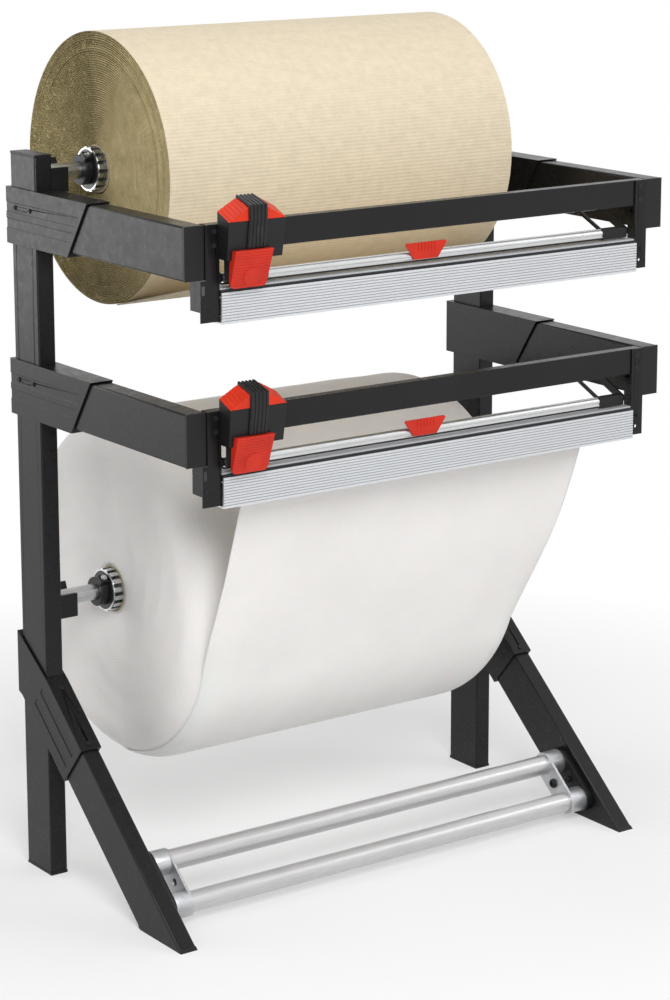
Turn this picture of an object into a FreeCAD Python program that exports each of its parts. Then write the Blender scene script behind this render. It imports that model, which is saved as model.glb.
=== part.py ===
import FreeCAD, Part
import math
import os

# A floor stand that holds two rolls of wrapping material, with a cutter in front of each roll.
# Millimetres. X runs across the stand, front is -Y, Z is up from the floor.
# The origin is on the floor, at the middle of the whole stand.

# Uprights, struts and arms; the stand is as wide as its roll, chucks and cradles need
upright_width = 34.0
upright_depth = 86.0
upright_height = 1322.0
tube_wall = 3.0
tube_corner = 3.0
cap_thickness = 4.0
plug_depth = 12.0
plug_clearance = 0.2
foot_thickness = 5.0
arm_width = 38.0
arm_height = 90.0
arm_reach = 481.0
upper_arm_top = 1256.0
tier_spacing = 308.0
strut_reach = 441.0
strut_angle = 40.2

# Brackets that clasp the uprights
bracket_side_wall = 4.0
bracket_rear_wall = 12.0
arm_bracket_over = 3.0
arm_bracket_under = 8.0
arm_bracket_top_reach = 182.0
arm_bracket_bottom_reach = 113.0
arm_bracket_groove_depth = 1.2
arm_bracket_groove_height = 17.0
arm_bracket_groove_margin = 12.0
strut_bracket_wall = 6.0
strut_bracket_run = 158.0
strut_bracket_rear_top = 445.0
strut_bracket_rear_bottom = 330.0
strut_bracket_groove_width = 13.0
strut_bracket_groove_depth = 1.2

# Screws
screw_head_radius = 4.2
screw_head_height = 2.4
screw_radius = 2.5
screw_length = 9.0
clamp_bolt_head_radius = 6.0
clamp_bolt_head_height = 5.0
clamp_bolt_radius = 4.0

# Tubes between the struts, and their double clamps
cross_tube_radius = 19.0
cross_tube_wall = 2.0
front_tube_height = 40.0
rear_tube_height = 96.0
cross_tube_setback = 38.0
clamp_base_thickness = 11.0
clamp_base_margin = 2.5
clamp_ring_length = 36.0
clamp_ring_wall = 4.5
clamp_clearance = 0.05
clamp_web_thickness = 5.0
clamp_access_radius = 7.0

# Rolls, their cores, shafts and chucks
roll_width = 750.0
roll_shift = 15.0
upper_roll_radius = 243.0
lower_roll_radius = 321.0
upper_roll_height = 1283.5
lower_roll_height = 508.0
upper_roll_edge = 4.0
lower_roll_edge = 70.0
upper_core_inset = 0.0
lower_core_inset = 16.0
core_radius = 43.0
core_wall = 5.0
shaft_radius = 15.0
shaft_end_play = 2.0
bearing_clearance = 0.08
chuck_tooth_length = 18.0
chuck_tooth_radius = 40.0
chuck_tooth_count = 16
chuck_tooth_gap = 7.0
chuck_tooth_depth = 6.0
chuck_plug_length = 40.0
chuck_plug_clearance = 0.05
chuck_disc_radius = 38.5
chuck_disc_thickness = 2.0
chuck_hub_radius = 27.0
chuck_hub_length = 18.0
chuck_lug_width = 18.0
chuck_lug_height = 8.0
chuck_screw_radius = 3.5
chuck_screw_head_height = 3.0
cradle_length = 46.0
cradle_to_chuck = 2.0
cradle_width = 43.0
cradle_drop = 33.0
cradle_front_rise = 10.0
cradle_rear_rise = 24.0

# Material drawn from each roll into its cutter
web_thickness = 2.4
web_gap = 0.4
web_bend_setback = 6.0

# Guide beam and end plates of a cutter; heights are below the top of the arms, and what lies ahead
# or behind is measured from the front of the guide beam
beam_height = 46.0
beam_depth = 20.0
beam_wall = 2.0
plate_thickness = 3.0
flange_width = 27.0
flange_drop = 160.0
flange_extra_width = 10.0
side_web_drop = 146.0
side_web_reach = 45.0
ear_reach = 101.0
ear_drop = 80.0
return_web_drop = 114.0
return_web_reach = 35.0
plate_hole_radius = 3.0
plate_hole_pitch = 20.0
plate_hole_inset = 15.0
plate_hole_drop = 134.5
plate_slot_width = 6.0
plate_slot_height = 16.0
plate_slot_drop = 107.0
rivet_radius = 1.6
rivet_inset = 6.5
rivet_drop = 133.0

# Ribbed cutting profile, black cutting strip and press bar
profile_ahead = 9.0
profile_depth = 48.0
profile_drop = 112.5
profile_height = 52.0
profile_wall = 2.5
rib_count = 11
rib_groove_width = 1.6
rib_groove_depth = 0.8
ledge_rise = 6.5
strip_width = 5.0
strip_depth = 6.5
strip_rise = 4.0
strip_slot_width = 2.0
strip_floor = 3.0
press_gap = 3.0
lip_height = 4.0
lip_width = 8.0
lip_tongue_width = 4.0
lip_tongue_height = 3.0
bar_depth = 16.0
bar_height = 15.0
bar_behind = 7.0
bar_left_inset = 78.0
bar_right_inset = 132.0
pivot_behind = 89.0
pivot_drop = 58.0
pivot_radius = 5.0
arm_plate_thickness = 4.0
arm_plate_height = 14.0
arm_plate_inset = 71.0
stay_inset = 122.0
stay_height = 6.0
collar_wall = 4.0
handle_width_top = 88.0
handle_width_bottom = 49.0
handle_height = 29.0
handle_thickness = 3.0
handle_centre = -20.0
handle_rib_count = 7

# Carriage that slides on the guide beam; heights are above or below the top of the arms
carriage_left_inset = 60.0
carriage_width = 111.0
carriage_ahead = 39.0
carriage_behind = 41.0
carriage_taper = 2.0
carriage_lean = 8.0
carriage_ridge_rise = 14.5
carriage_shell = 3.0
carriage_deck_rise = 6.0
carriage_skirt_drop = 57.0
bridge_left_inset = 36.0
bridge_right_inset = 14.0
carriage_crown_rise = 40.0
crown_front_rise = 29.0
glide_clearance = 0.4
glide_thickness = 4.5
glide_top_thickness = 2.6
glide_length = 20.0
glide_inset = 13.0
rear_glide_inset = 3.0
core_width = 26.0
band_width = 36.0
band_thickness = 3.0
band_drop = 40.0
band_rib_count = 5
band_rib_width = 4.0
band_rib_height = 1.5
button_clearance = 0.3
button_travel = 3.0
button_groove_count = 6
button_groove_width = 1.4
button_groove_depth = 0.8
button_peg_radius = 3.0
button_peg_length = 7.0
peg_clearance = 0.1

# Blade, its block and its cover
blade_radius = 27.0
blade_thickness = 0.8
blade_pin_radius = 4.0
blade_bore_clearance = 0.08
blade_hub_radius = 9.0
blade_hub_thickness = 2.4
blade_pin_head_radius = 6.5
blade_pin_head_thickness = 1.0
blade_side_play = 0.3
blade_bevel = 2.5
blade_inset = 108.0
block_ahead = 8.0
block_thickness = 16.0
block_width = 76.0
block_bottom_drop = 92.0
cover_ahead = 4.0
cover_lean = 15.0
cover_wall = 2.5
cover_top_drop = 41.0
cover_bottom_drop = 104.0
cover_left_top = 71.0
cover_right_top = 144.5
cover_left_bottom = 68.5
cover_right_bottom = 138.5
cover_corner = 9.0
cover_groove_count = 12
cover_groove_width = 1.2
cover_groove_depth = 0.6
cover_boss_radius = 16.0
cover_boss_rise = 1.0

# Sizes worked out from those above
Vector = FreeCAD.Vector
FAR = 4000.0
chuck_reach = chuck_tooth_length + chuck_disc_thickness + chuck_hub_length
post_inner = roll_width / 2 + abs(roll_shift) + chuck_reach + cradle_to_chuck + cradle_length
half_width = post_inner + upright_width
profile_front = arm_reach + profile_ahead
bar_front = arm_reach - bar_behind
pivot_reach = arm_reach - pivot_behind
carriage_front = arm_reach + carriage_ahead
carriage_rear = arm_reach - carriage_behind
block_rear = arm_reach + block_ahead
block_front = block_rear + block_thickness
cover_front = carriage_front + cover_ahead
carriage_ridge = arm_reach + glide_thickness + glide_clearance
lower_arm_top = upper_arm_top - tier_spacing
rear_reach = upright_depth / 2 + lower_roll_radius
front_reach = max(cover_front, carriage_front + band_thickness + band_rib_height)
face_y = (front_reach - rear_reach) / 2
roll_y = face_y + upright_depth / 2
arm_inner = half_width - arm_width
strut_slope = math.tan(math.radians(strut_angle))
strut_sine = math.sin(math.radians(strut_angle))
strut_cosine = math.cos(math.radians(strut_angle))


def box(x_range, y_range, z_range):
    corner = Vector(x_range[0], y_range[0], z_range[0])
    size = [high - low for low, high in (x_range, y_range, z_range)]
    return Part.makeBox(size[0], size[1], size[2], corner)


def polygon_face(points):
    return Part.Face(Part.makePolygon(points + [points[0]]))


def along_x(outline, x_low, x_high):
    """Extrude an outline of (y, z) points from x_low to x_high."""
    face = polygon_face([Vector(x_low, y, z) for y, z in outline])
    return face.extrude(Vector(x_high - x_low, 0, 0))


def along_y(outline, y_low, y_high):
    """Extrude an outline of (x, z) points from y_low to y_high."""
    face = polygon_face([Vector(x, y_low, z) for x, z in outline])
    return face.extrude(Vector(0, y_high - y_low, 0))


def rod(start, end, radius):
    """Round bar from one point to another."""
    axis = end - start
    return Part.makeCylinder(radius, axis.Length, start, axis)


def rod_x(x_low, x_high, y, z, radius):
    return rod(Vector(x_low, y, z), Vector(x_high, y, z), radius)


def rod_y(y_low, y_high, x, z, radius):
    return rod(Vector(x, y_low, z), Vector(x, y_high, z), radius)


def mirrored(shape):
    return shape.mirror(Vector(0, 0, 0), Vector(1, 0, 0))


def both_sides(shape):
    return [shape, mirrored(shape)]


def solids_of(shapes):
    found = []
    for shape in shapes:
        found.extend(shape.Solids)
    return found


def group(shapes):
    return Part.makeCompound(solids_of(shapes))


def edges_along(shape, direction):
    """The straight edges of a shape that run along one direction."""
    found = []
    for edge in shape.Edges:
        if len(edge.Vertexes) == 2 and isinstance(edge.Curve, Part.Line):
            run = edge.Vertexes[1].Point - edge.Vertexes[0].Point
            if run.cross(direction).Length < 1e-6 * run.Length:
                found.append(edge)
    return found


def eased(shape, radius, direction):
    return shape.makeFillet(radius, edges_along(shape, direction))


def square_tube(x_range, y_range, z_range, wall, direction):
    """Hollow box section with rounded long edges, open at both ends."""
    outer = eased(box(x_range, y_range, z_range), tube_corner, direction)
    ranges = []
    for axis, (low, high) in zip(direction, (x_range, y_range, z_range)):
        inset = -1.0 if abs(axis) > 0.5 else wall
        ranges.append((low + inset, high - inset))
    return outer.cut(box(ranges[0], ranges[1], ranges[2]))


def screw(seat, outward, head_radius, head_height, radius, length):
    """A screw whose head sits on seat; returns the screw and the hole it needs."""
    axis = Vector(outward).normalize()
    head = rod(seat, seat + axis * head_height, head_radius)
    socket = rod(seat + axis * (head_height / 2), seat + axis * (head_height + 1), head_radius / 2)
    shank = rod(seat - axis * length, seat, radius)
    return head.cut(socket).fuse(shank), shank


def frame_screw(seat, outward):
    return screw(seat, outward, screw_head_radius, screw_head_height, screw_radius, screw_length)


# The left-hand frame, from which the right-hand one is mirrored
X_AXIS = Vector(1, 0, 0)
Y_AXIS = Vector(0, 1, 0)
Z_AXIS = Vector(0, 0, 1)
post_x = (-half_width, -post_inner)
arm_x = (-half_width, -arm_inner)
post_y = (face_y, face_y + upright_depth)


def strut_line(setback, height):
    """The y of the line that lies setback behind the strut's front edge, at a height."""
    return face_y - strut_reach + setback / strut_sine + height / strut_slope


def strut_height(setback):
    """The height at which that line meets the upright's front face."""
    return (strut_reach - setback / strut_sine) * strut_slope


def strut_outline(margin, low, y_end):
    """The strut's side view, margin inside its edges, from a height up to y_end."""
    front = margin
    rear = upright_depth - margin
    front_top = strut_height(front) + (y_end - face_y) * strut_slope
    rear_top = strut_height(rear) + (y_end - face_y) * strut_slope
    return [
        (strut_line(front, low), low),
        (strut_line(rear, low), low),
        (y_end, rear_top),
        (y_end, front_top),
    ]


def make_upright():
    z_range = (foot_thickness, upright_height - cap_thickness)
    return square_tube(post_x, post_y, z_range, tube_wall, Z_AXIS)


def make_strut():
    outer = along_x(strut_outline(0, foot_thickness, face_y), post_x[0], post_x[1])
    long_way = Vector(0, strut_cosine, strut_sine)
    outer = eased(outer, tube_corner, long_way)
    hollow = strut_outline(tube_wall, -upright_depth, face_y + upright_depth)
    return outer.cut(along_x(hollow, post_x[0] + tube_wall, post_x[1] - tube_wall))


def make_arm(top):
    y_range = (face_y - arm_reach + cap_thickness, face_y)
    return square_tube(arm_x, y_range, (top - arm_height, top), tube_wall, Y_AXIS)


def make_plugs():
    """Caps on the upright and arms, feet under the upright and strut, and the clamp base."""
    inset = tube_wall + plug_clearance
    inner_x = (post_x[0] + inset, post_x[1] - inset)
    inner_y = (post_y[0] + inset, post_y[1] - inset)
    cap_low = upright_height - cap_thickness
    plate = box(post_x, post_y, (cap_low, upright_height))
    plate = plate.makeFillet(1.2, [e for e in plate.Edges if e.BoundBox.ZMin > cap_low + 1])
    top_cap = plate.fuse(box(inner_x, inner_y, (cap_low - plug_depth, cap_low)))
    foot = box(post_x, post_y, (0, foot_thickness))
    foot = foot.fuse(box(inner_x, inner_y, (foot_thickness, foot_thickness + plug_depth)))
    strut_foot = along_x(
        [
            (strut_line(0, 0), 0),
            (strut_line(upright_depth, 0), 0),
            (strut_line(upright_depth, foot_thickness), foot_thickness),
            (strut_line(0, foot_thickness), foot_thickness),
        ],
        post_x[0],
        post_x[1],
    )
    plugs = [top_cap, foot, strut_foot]
    for top in (upper_arm_top, lower_arm_top):
        end = face_y - arm_reach
        low = top - arm_height
        plate = box(arm_x, (end, end + cap_thickness), (low, top))
        plate = plate.makeFillet(1.2, [e for e in plate.Edges if e.BoundBox.YMax < end + 1])
        stem = box(
            (arm_x[0] + inset, arm_x[1] - inset),
            (end + cap_thickness, end + cap_thickness + plug_depth),
            (low + inset, top - inset),
        )
        plugs.append(plate.fuse(stem))
    plugs.append(clamp_base())
    return plugs


def make_arm_bracket(top):
    """Sleeve round the upright and the arm's root, with two shallow grooves on its outer side."""
    low = top - arm_height - arm_bracket_under
    high = top + arm_bracket_over
    rear = post_y[1] + bracket_rear_wall
    outline = [
        (rear, low),
        (rear, high),
        (face_y - arm_bracket_top_reach, high),
        (face_y - arm_bracket_bottom_reach, low),
    ]
    outer_face = -half_width - bracket_side_wall
    shell = along_x(outline, outer_face, -arm_inner + bracket_side_wall)
    shell = shell.cut(box(post_x, post_y, (0, FAR)))
    shell = shell.cut(box(arm_x, (face_y - arm_reach, face_y), (top - arm_height, top)))
    lean = (arm_bracket_top_reach - arm_bracket_bottom_reach) / (high - low)
    middle = (low + high) / 2
    for side in (-1, 1):
        centre = middle + side * (arm_bracket_groove_height / 2 + arm_bracket_groove_margin / 2)
        ends = []
        for edge in (centre - arm_bracket_groove_height / 2, centre + arm_bracket_groove_height / 2):
            front = face_y - arm_bracket_bottom_reach - (edge - low) * lean
            ends.append((front + arm_bracket_groove_margin, edge))
        groove = [(rear + 1, ends[0][1]), ends[0], ends[1], (rear + 1, ends[1][1])]
        shell = shell.cut(along_x(groove, outer_face - 1, outer_face + arm_bracket_groove_depth))
    return shell


def along_strut(run, setback):
    """A (y, z) point: run down from where the front edge meets the upright, setback behind it."""
    y = face_y - run * strut_cosine + setback * strut_sine
    z = strut_height(0) - run * strut_sine - setback * strut_cosine
    return y, z


def make_strut_bracket():
    """Sleeve round the upright and the strut's head, with two long grooves on its outer side."""
    rear = post_y[1] + bracket_rear_wall
    wall = strut_bracket_wall
    run_up = wall * strut_slope
    outline = [
        (rear, strut_bracket_rear_bottom),
        along_strut(-rear_run(), upright_depth + wall),
        along_strut(strut_bracket_run, upright_depth + wall),
        along_strut(strut_bracket_run, -wall),
        along_strut(run_up, -wall),
        (rear, strut_bracket_rear_top),
    ]
    outer_face = -half_width - bracket_side_wall
    shell = along_x(outline, outer_face, -post_inner + bracket_side_wall)
    shell = shell.cut(box(post_x, post_y, (0, FAR)))
    shell = shell.cut(along_x(strut_outline(0, foot_thickness, face_y), post_x[0], post_x[1]))
    for setback in (upright_depth * 0.3, upright_depth * 0.68):
        low_edge = setback - strut_bracket_groove_width / 2
        high_edge = setback + strut_bracket_groove_width / 2
        start = strut_bracket_run * 0.02
        end = strut_bracket_run - strut_bracket_groove_width
        groove = [
            along_strut(start, low_edge),
            along_strut(end, low_edge),
            along_strut(end, high_edge),
            along_strut(start, high_edge),
        ]
        tool = along_x(groove, outer_face - 1, outer_face + strut_bracket_groove_depth)
        shell = shell.cut(tool)
    return shell


def rear_run():
    """How far up the strut's line the bracket's lower edge starts, at the upright's rear face."""
    return (upright_depth - (upright_depth + strut_bracket_wall) * strut_sine) / strut_cosine


def bracket_screws():
    """Screws on the outer sides of the arm brackets and the front of the strut bracket."""
    found = []
    outer_face = -half_width - bracket_side_wall + arm_bracket_groove_depth
    for top in (upper_arm_top, lower_arm_top):
        height = top - arm_height / 2 + arm_bracket_groove_height / 2 + arm_bracket_groove_margin / 2
        height -= (arm_bracket_under - arm_bracket_over) / 2
        for y in (face_y + upright_depth * 0.2, face_y + upright_depth * 0.8):
            found.append(frame_screw(Vector(outer_face, y, height), -X_AXIS))
    outward = Vector(0, -strut_sine, strut_cosine)
    for run in (strut_bracket_wall * 4, strut_bracket_run - strut_bracket_wall * 2):
        y, z = along_strut(run, -strut_bracket_wall)
        x = (post_x[0] + post_x[1]) / 2
        found.append(frame_screw(Vector(x, y, z), outward))
    return found


# Cross tubes and their clamps
base_x = (-post_inner, -post_inner + clamp_base_thickness)
ring_x = (base_x[1], base_x[1] + clamp_ring_length)
ring_radius = cross_tube_radius + clamp_clearance + clamp_ring_wall


def tube_centres():
    heights = (front_tube_height, rear_tube_height)
    return [(strut_line(cross_tube_setback, height), height) for height in heights]


def stadium(x_low, x_high, radius):
    """A plate with round ends about both tube centres."""
    (y_front, z_front), (y_rear, z_rear) = tube_centres()
    run = Vector(0, y_rear - y_front, z_rear - z_front)
    across = run.cross(X_AXIS).normalize() * radius
    corners = []
    for y, z, side in ((y_front, z_front, 1), (y_rear, z_rear, 1), (y_rear, z_rear, -1), (y_front, z_front, -1)):
        corners.append((y + side * across.y, z + side * across.z))
    plate = along_x(corners, x_low, x_high)
    for y, z in tube_centres():
        plate = plate.fuse(rod_x(x_low, x_high, y, z, radius))
    return plate.removeSplitter()


def clamp_middle():
    (y_front, z_front), (y_rear, z_rear) = tube_centres()
    return (y_front + y_rear) / 2, (z_front + z_rear) / 2


def clamp_base():
    base = stadium(base_x[0], base_x[1], ring_radius + clamp_base_margin)
    return base.cut(clamp_bolt()[1])


def make_clamp():
    """Casting with a ring round each tube and a web between them."""
    casting = stadium(ring_x[1] - clamp_web_thickness, ring_x[1], ring_radius)
    for y, z in tube_centres():
        casting = casting.fuse(rod_x(ring_x[0], ring_x[1], y, z, ring_radius))
    y, z = clamp_middle()
    casting = casting.cut(rod_x(ring_x[0], ring_x[1] + 1, y, z, clamp_access_radius))
    for y, z in tube_centres():
        bore = cross_tube_radius + clamp_clearance
        casting = casting.cut(rod_x(ring_x[0] - 1, ring_x[1] + 1, y, z, bore))
    return casting


def clamp_bolt():
    y, z = clamp_middle()
    seat = Vector(base_x[1], y, z)
    length = clamp_base_thickness + tube_wall
    return screw(
        seat, X_AXIS, clamp_bolt_head_radius, clamp_bolt_head_height, clamp_bolt_radius, length
    )


def make_cross_tubes():
    tubes = []
    for y, z in tube_centres():
        outer = rod_x(base_x[1], -base_x[1], y, z, cross_tube_radius)
        inner = rod_x(base_x[1] - 1, -base_x[1] + 1, y, z, cross_tube_radius - cross_tube_wall)
        tubes.append(outer.cut(inner))
    return tubes


def make_cradle(height):
    """Open-topped bearing block on the inner side of the upright."""
    half = cradle_width / 2
    outline = [
        (roll_y - half, height - cradle_drop),
        (roll_y + half, height - cradle_drop),
        (roll_y + half, height + cradle_rear_rise),
        (roll_y + shaft_radius, height + cradle_front_rise),
        (roll_y - half, height + cradle_front_rise),
    ]
    block = along_x(outline, -post_inner, -post_inner + cradle_length)
    bore = shaft_radius + bearing_clearance
    x_low, x_high = -post_inner - 1, -post_inner + cradle_length + 1
    block = block.cut(rod_x(x_low, x_high, roll_y, height, bore))
    slot = box((x_low, x_high), (roll_y - bore, roll_y + bore), (height, height + FAR))
    block = block.cut(slot)
    for top in (upper_arm_top, lower_arm_top):
        block = block.cut(make_arm_bracket(top))
    return block


def roll_ends():
    return roll_shift - roll_width / 2, roll_shift + roll_width / 2


def make_roll(height, radius, edge, inset):
    """Wound material: a ring round the core, with rounded edges and a dished end where it is soft."""
    low, high = roll_ends()
    bore = core_radius
    profile = [
        Vector(low + inset, 0, bore),
        Vector(low, 0, bore + (radius - bore) * 0.45) if inset else Vector(low, 0, bore),
        Vector(low, 0, radius - edge),
        Vector(low + edge * (1 - math.sqrt(0.5)), 0, radius - edge * (1 - math.sqrt(0.5))),
        Vector(low + edge, 0, radius),
    ]
    mirror_x = low + high
    far_side = [Vector(mirror_x - point.x, 0, point.z) for point in profile]
    segments = []
    if inset:
        segments.append(Part.makeLine(profile[0], profile[1]))
    segments.append(Part.makeLine(profile[1], profile[2]))
    segments.append(Part.Arc(profile[2], profile[3], profile[4]).toShape())
    segments.append(Part.makeLine(profile[4], far_side[4]))
    segments.append(Part.Arc(far_side[4], far_side[3], far_side[2]).toShape())
    segments.append(Part.makeLine(far_side[2], far_side[1]))
    if inset:
        segments.append(Part.makeLine(far_side[1], far_side[0]))
    segments.append(Part.makeLine(far_side[0], profile[0]))
    face = Part.Face(Part.Wire(segments))
    ring = face.revolve(Vector(0, 0, 0), X_AXIS, 360)
    return ring.translated(Vector(0, roll_y, height))


def make_core(height, inset):
    low, high = roll_ends()
    tube = rod_x(low + inset, high - inset, roll_y, height, core_radius)
    bore = rod_x(low, high, roll_y, height, core_radius - core_wall)
    return tube.cut(bore)


def make_shaft(height):
    end = post_inner - shaft_end_play
    bar = rod_x(-end, end, roll_y, height, shaft_radius)
    return bar.makeChamfer(1.5, [e for e in bar.Edges if isinstance(e.Curve, Part.Circle)])


def chuck_pieces(height, inset):
    """The left chuck: a black clamp hub, and the steel pieces that grip the core."""
    mouth = roll_ends()[0] + inset
    tooth_low = mouth - chuck_tooth_length
    disc_low = tooth_low - chuck_disc_thickness
    hub_low = disc_low - chuck_hub_length
    bore = rod_x(hub_low - 1, mouth + chuck_plug_length + 1, roll_y, height, shaft_radius)

    teeth = rod_x(tooth_low, mouth, roll_y, height, chuck_tooth_radius)
    for index in range(chuck_tooth_count):
        notch = box(
            (tooth_low - 1, mouth - 1),
            (roll_y - chuck_tooth_gap / 2, roll_y + chuck_tooth_gap / 2),
            (height + chuck_tooth_radius - chuck_tooth_depth, height + chuck_tooth_radius + 1),
        )
        notch.rotate(Vector(0, roll_y, height), X_AXIS, 360 * index / chuck_tooth_count)
        teeth = teeth.cut(notch)
    plug_radius = core_radius - core_wall - chuck_plug_clearance
    cone = teeth.fuse(rod_x(mouth, mouth + chuck_plug_length, roll_y, height, plug_radius)).cut(bore)

    disc = rod_x(disc_low, tooth_low, roll_y, height, chuck_disc_radius).cut(bore)

    hub = rod_x(hub_low, disc_low, roll_y, height, chuck_hub_radius)
    reach = chuck_hub_radius + chuck_lug_height
    lug = box(
        (hub_low, disc_low - 3),
        (roll_y - chuck_lug_width / 2, roll_y + chuck_lug_width / 2),
        (height, height + reach),
    )
    hub = hub.fuse(lug)
    middle = (hub_low + disc_low - 3) / 2
    seat = Vector(middle, roll_y, height + reach)
    length = chuck_hub_radius + chuck_lug_height - shaft_radius / 2
    bolt, hole = screw(
        seat, Z_AXIS, chuck_screw_radius * 1.6, chuck_screw_head_height, chuck_screw_radius, length
    )
    hub = hub.cut(bore).cut(hole)
    bolt = bolt.cut(bore)
    turned = []
    for piece in (hub, bolt):
        piece.rotate(Vector(0, roll_y, height), X_AXIS, 35)
        turned.append(piece)
    return turned[0], [cone, disc, turned[1]]


def other_end(shape):
    """The same piece at the roll's other end."""
    return shape.mirror(Vector(roll_shift, 0, 0), Vector(1, 0, 0))


def web_path(top, height, radius):
    """Where the drawn material runs: cut edge, bend behind the cutting profile, roll."""
    ledge = top - profile_drop + ledge_rise
    level = ledge + web_thickness / 2
    y_cut = face_y - profile_front + profile_wall + strip_width + web_gap
    y_bend = face_y - profile_front + profile_depth + web_bend_setback
    reach = radius + web_gap + web_thickness / 2
    away_y = roll_y - y_bend
    away_z = height - level
    distance = math.hypot(away_y, away_z)
    tangent = math.sqrt(distance**2 - reach**2)
    heading = math.atan2(away_z, away_y) - math.asin(reach / distance)
    y_end = y_bend + tangent * math.cos(heading)
    z_end = level + tangent * math.sin(heading)
    return [(y_cut, level), (y_bend, level), (y_end, z_end)], heading


def make_web(top, height, radius):
    path, heading = web_path(top, height, radius)
    half = web_thickness / 2
    miter = half * math.tan(heading / 2)
    away = (-math.sin(heading) * half, math.cos(heading) * half)
    (y_cut, level), (y_bend, _), (y_end, z_end) = path
    outline = [
        (y_cut, level - half),
        (y_bend + miter, level - half),
        (y_end - away[0], z_end - away[1]),
        (y_end + away[0], z_end + away[1]),
        (y_bend - miter, level + half),
        (y_cut, level + half),
    ]
    low, high = roll_ends()
    return along_x(outline, low, high)


def make_beam(top):
    x_range = (-arm_inner + plate_thickness, arm_inner - plate_thickness)
    front = face_y - arm_reach
    y_range = (front, front + beam_depth)
    z_range = (top - beam_height, top)
    outer = eased(box(x_range, y_range, z_range), beam_wall / 2, X_AXIS)
    hollow = box(
        (x_range[0] - 1, x_range[1] + 1),
        (y_range[0] + beam_wall, y_range[1] - beam_wall),
        (z_range[0] + beam_wall, z_range[1] - beam_wall),
    )
    return outer.cut(hollow)


def make_end_plate(top):
    """Folded sheet: a web on the arm's inner side, a flange in front and a return to the profile."""
    x_side = -arm_inner
    front = face_y - arm_reach
    thick = plate_thickness
    flange = box((x_side, x_side + flange_width), (front - thick, front), (top - flange_drop, top))
    rear = front + side_web_reach
    ear = front + ear_reach
    side_outline = [
        (front, top - side_web_drop),
        (rear, top - side_web_drop),
        (rear, top - ear_drop - thick),
        (ear, top - ear_drop),
        (ear, top - thick),
        (front, top - thick),
    ]
    side = along_x(side_outline, x_side, x_side + thick)
    x_return = x_side + flange_width - thick
    back = box(
        (x_return, x_return + thick),
        (front, front + return_web_reach),
        (top - flange_drop, top - return_web_drop),
    )
    plate = flange.fuse(side).fuse(back)
    y, z = pivot_centre(top)
    plate = plate.cut(rod_x(x_side - 1, x_side + thick + 1, y, z, pivot_radius + bearing_clearance))
    return plate.removeSplitter()


def left_plate_details(plate, top):
    """The left flange is wider below the arm, with a notch and a small hole at its edge."""
    x_side = -arm_inner
    front = face_y - arm_reach
    y_range = (front - plate_thickness, front)
    tab = box((x_side - flange_extra_width, x_side), y_range, (top - flange_drop, top - arm_height - 2))
    plate = plate.fuse(tab)
    x_edge = x_side - flange_extra_width
    y_tool = (y_range[0] - 1, y_range[1] + 1)
    slot_z = (top - plate_slot_drop - plate_slot_height / 2, top - plate_slot_drop + plate_slot_height / 2)
    plate = plate.cut(box((x_edge + 2, x_edge + 2 + plate_slot_width), (y_tool[0], front), slot_z))
    return plate.cut(tab_rivet(top)[1]).removeSplitter()


def tab_rivet(top):
    """Small bright rivet in the left flange's tab, and its hole."""
    x = -arm_inner - flange_extra_width + rivet_inset
    seat = Vector(x, face_y - arm_reach - plate_thickness, top - rivet_drop)
    return screw(seat, -Y_AXIS, rivet_radius * 1.5, 1.0, rivet_radius, plate_thickness)


def plate_hole_places(top):
    x = arm_inner - plate_hole_inset
    middle = top - plate_hole_drop
    return [(x, middle + side * plate_hole_pitch / 2) for side in (-1, 1)]


def right_plate_details(plate, top):
    """The right flange has two open holes below the arm."""
    front = face_y - arm_reach
    for x, z in plate_hole_places(top):
        plate = plate.cut(rod_y(front - plate_thickness - 1, front + 1, x, z, plate_hole_radius))
    return plate


def pivot_centre(top):
    return face_y - pivot_reach, top - pivot_drop


def cutter_screws(top):
    """Left-hand screws of one cutter: into the arm, the beam and the profile, with their holes."""
    front = face_y - arm_reach
    x_web = -arm_inner + plate_thickness
    found = []
    for drop in (beam_height * 0.25, beam_height * 1.3):
        seat = Vector(x_web, front + side_web_reach - screw_head_radius * 1.5, top - drop)
        found.append(frame_screw(seat, X_AXIS))
    for drop in (beam_height * 0.25, beam_height * 0.75):
        x = -arm_inner + flange_width * 0.6
        seat = Vector(x, front - plate_thickness, top - drop)
        head = screw(seat, -Y_AXIS, screw_head_radius, 1.0, screw_radius, plate_thickness + beam_wall)
        found.append(head)
    x_return = -arm_inner + flange_width - plate_thickness
    for y, z in profile_ports(top):
        seat = Vector(x_return, y, z)
        found.append(
            screw(seat, -X_AXIS, screw_head_radius, screw_head_height, screw_radius, screw_length)
        )
    return found


def profile_ports(top):
    """Centres of the two screw ports in the cutting profile."""
    front = face_y - profile_front
    low = top - profile_drop - profile_height
    inset = profile_wall + screw_radius + profile_wall
    return [(front + profile_depth / 2, low + inset), (front + profile_depth / 2, low + profile_height - inset)]


def profile_ends():
    reach = arm_inner - flange_width
    return -reach, reach


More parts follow.
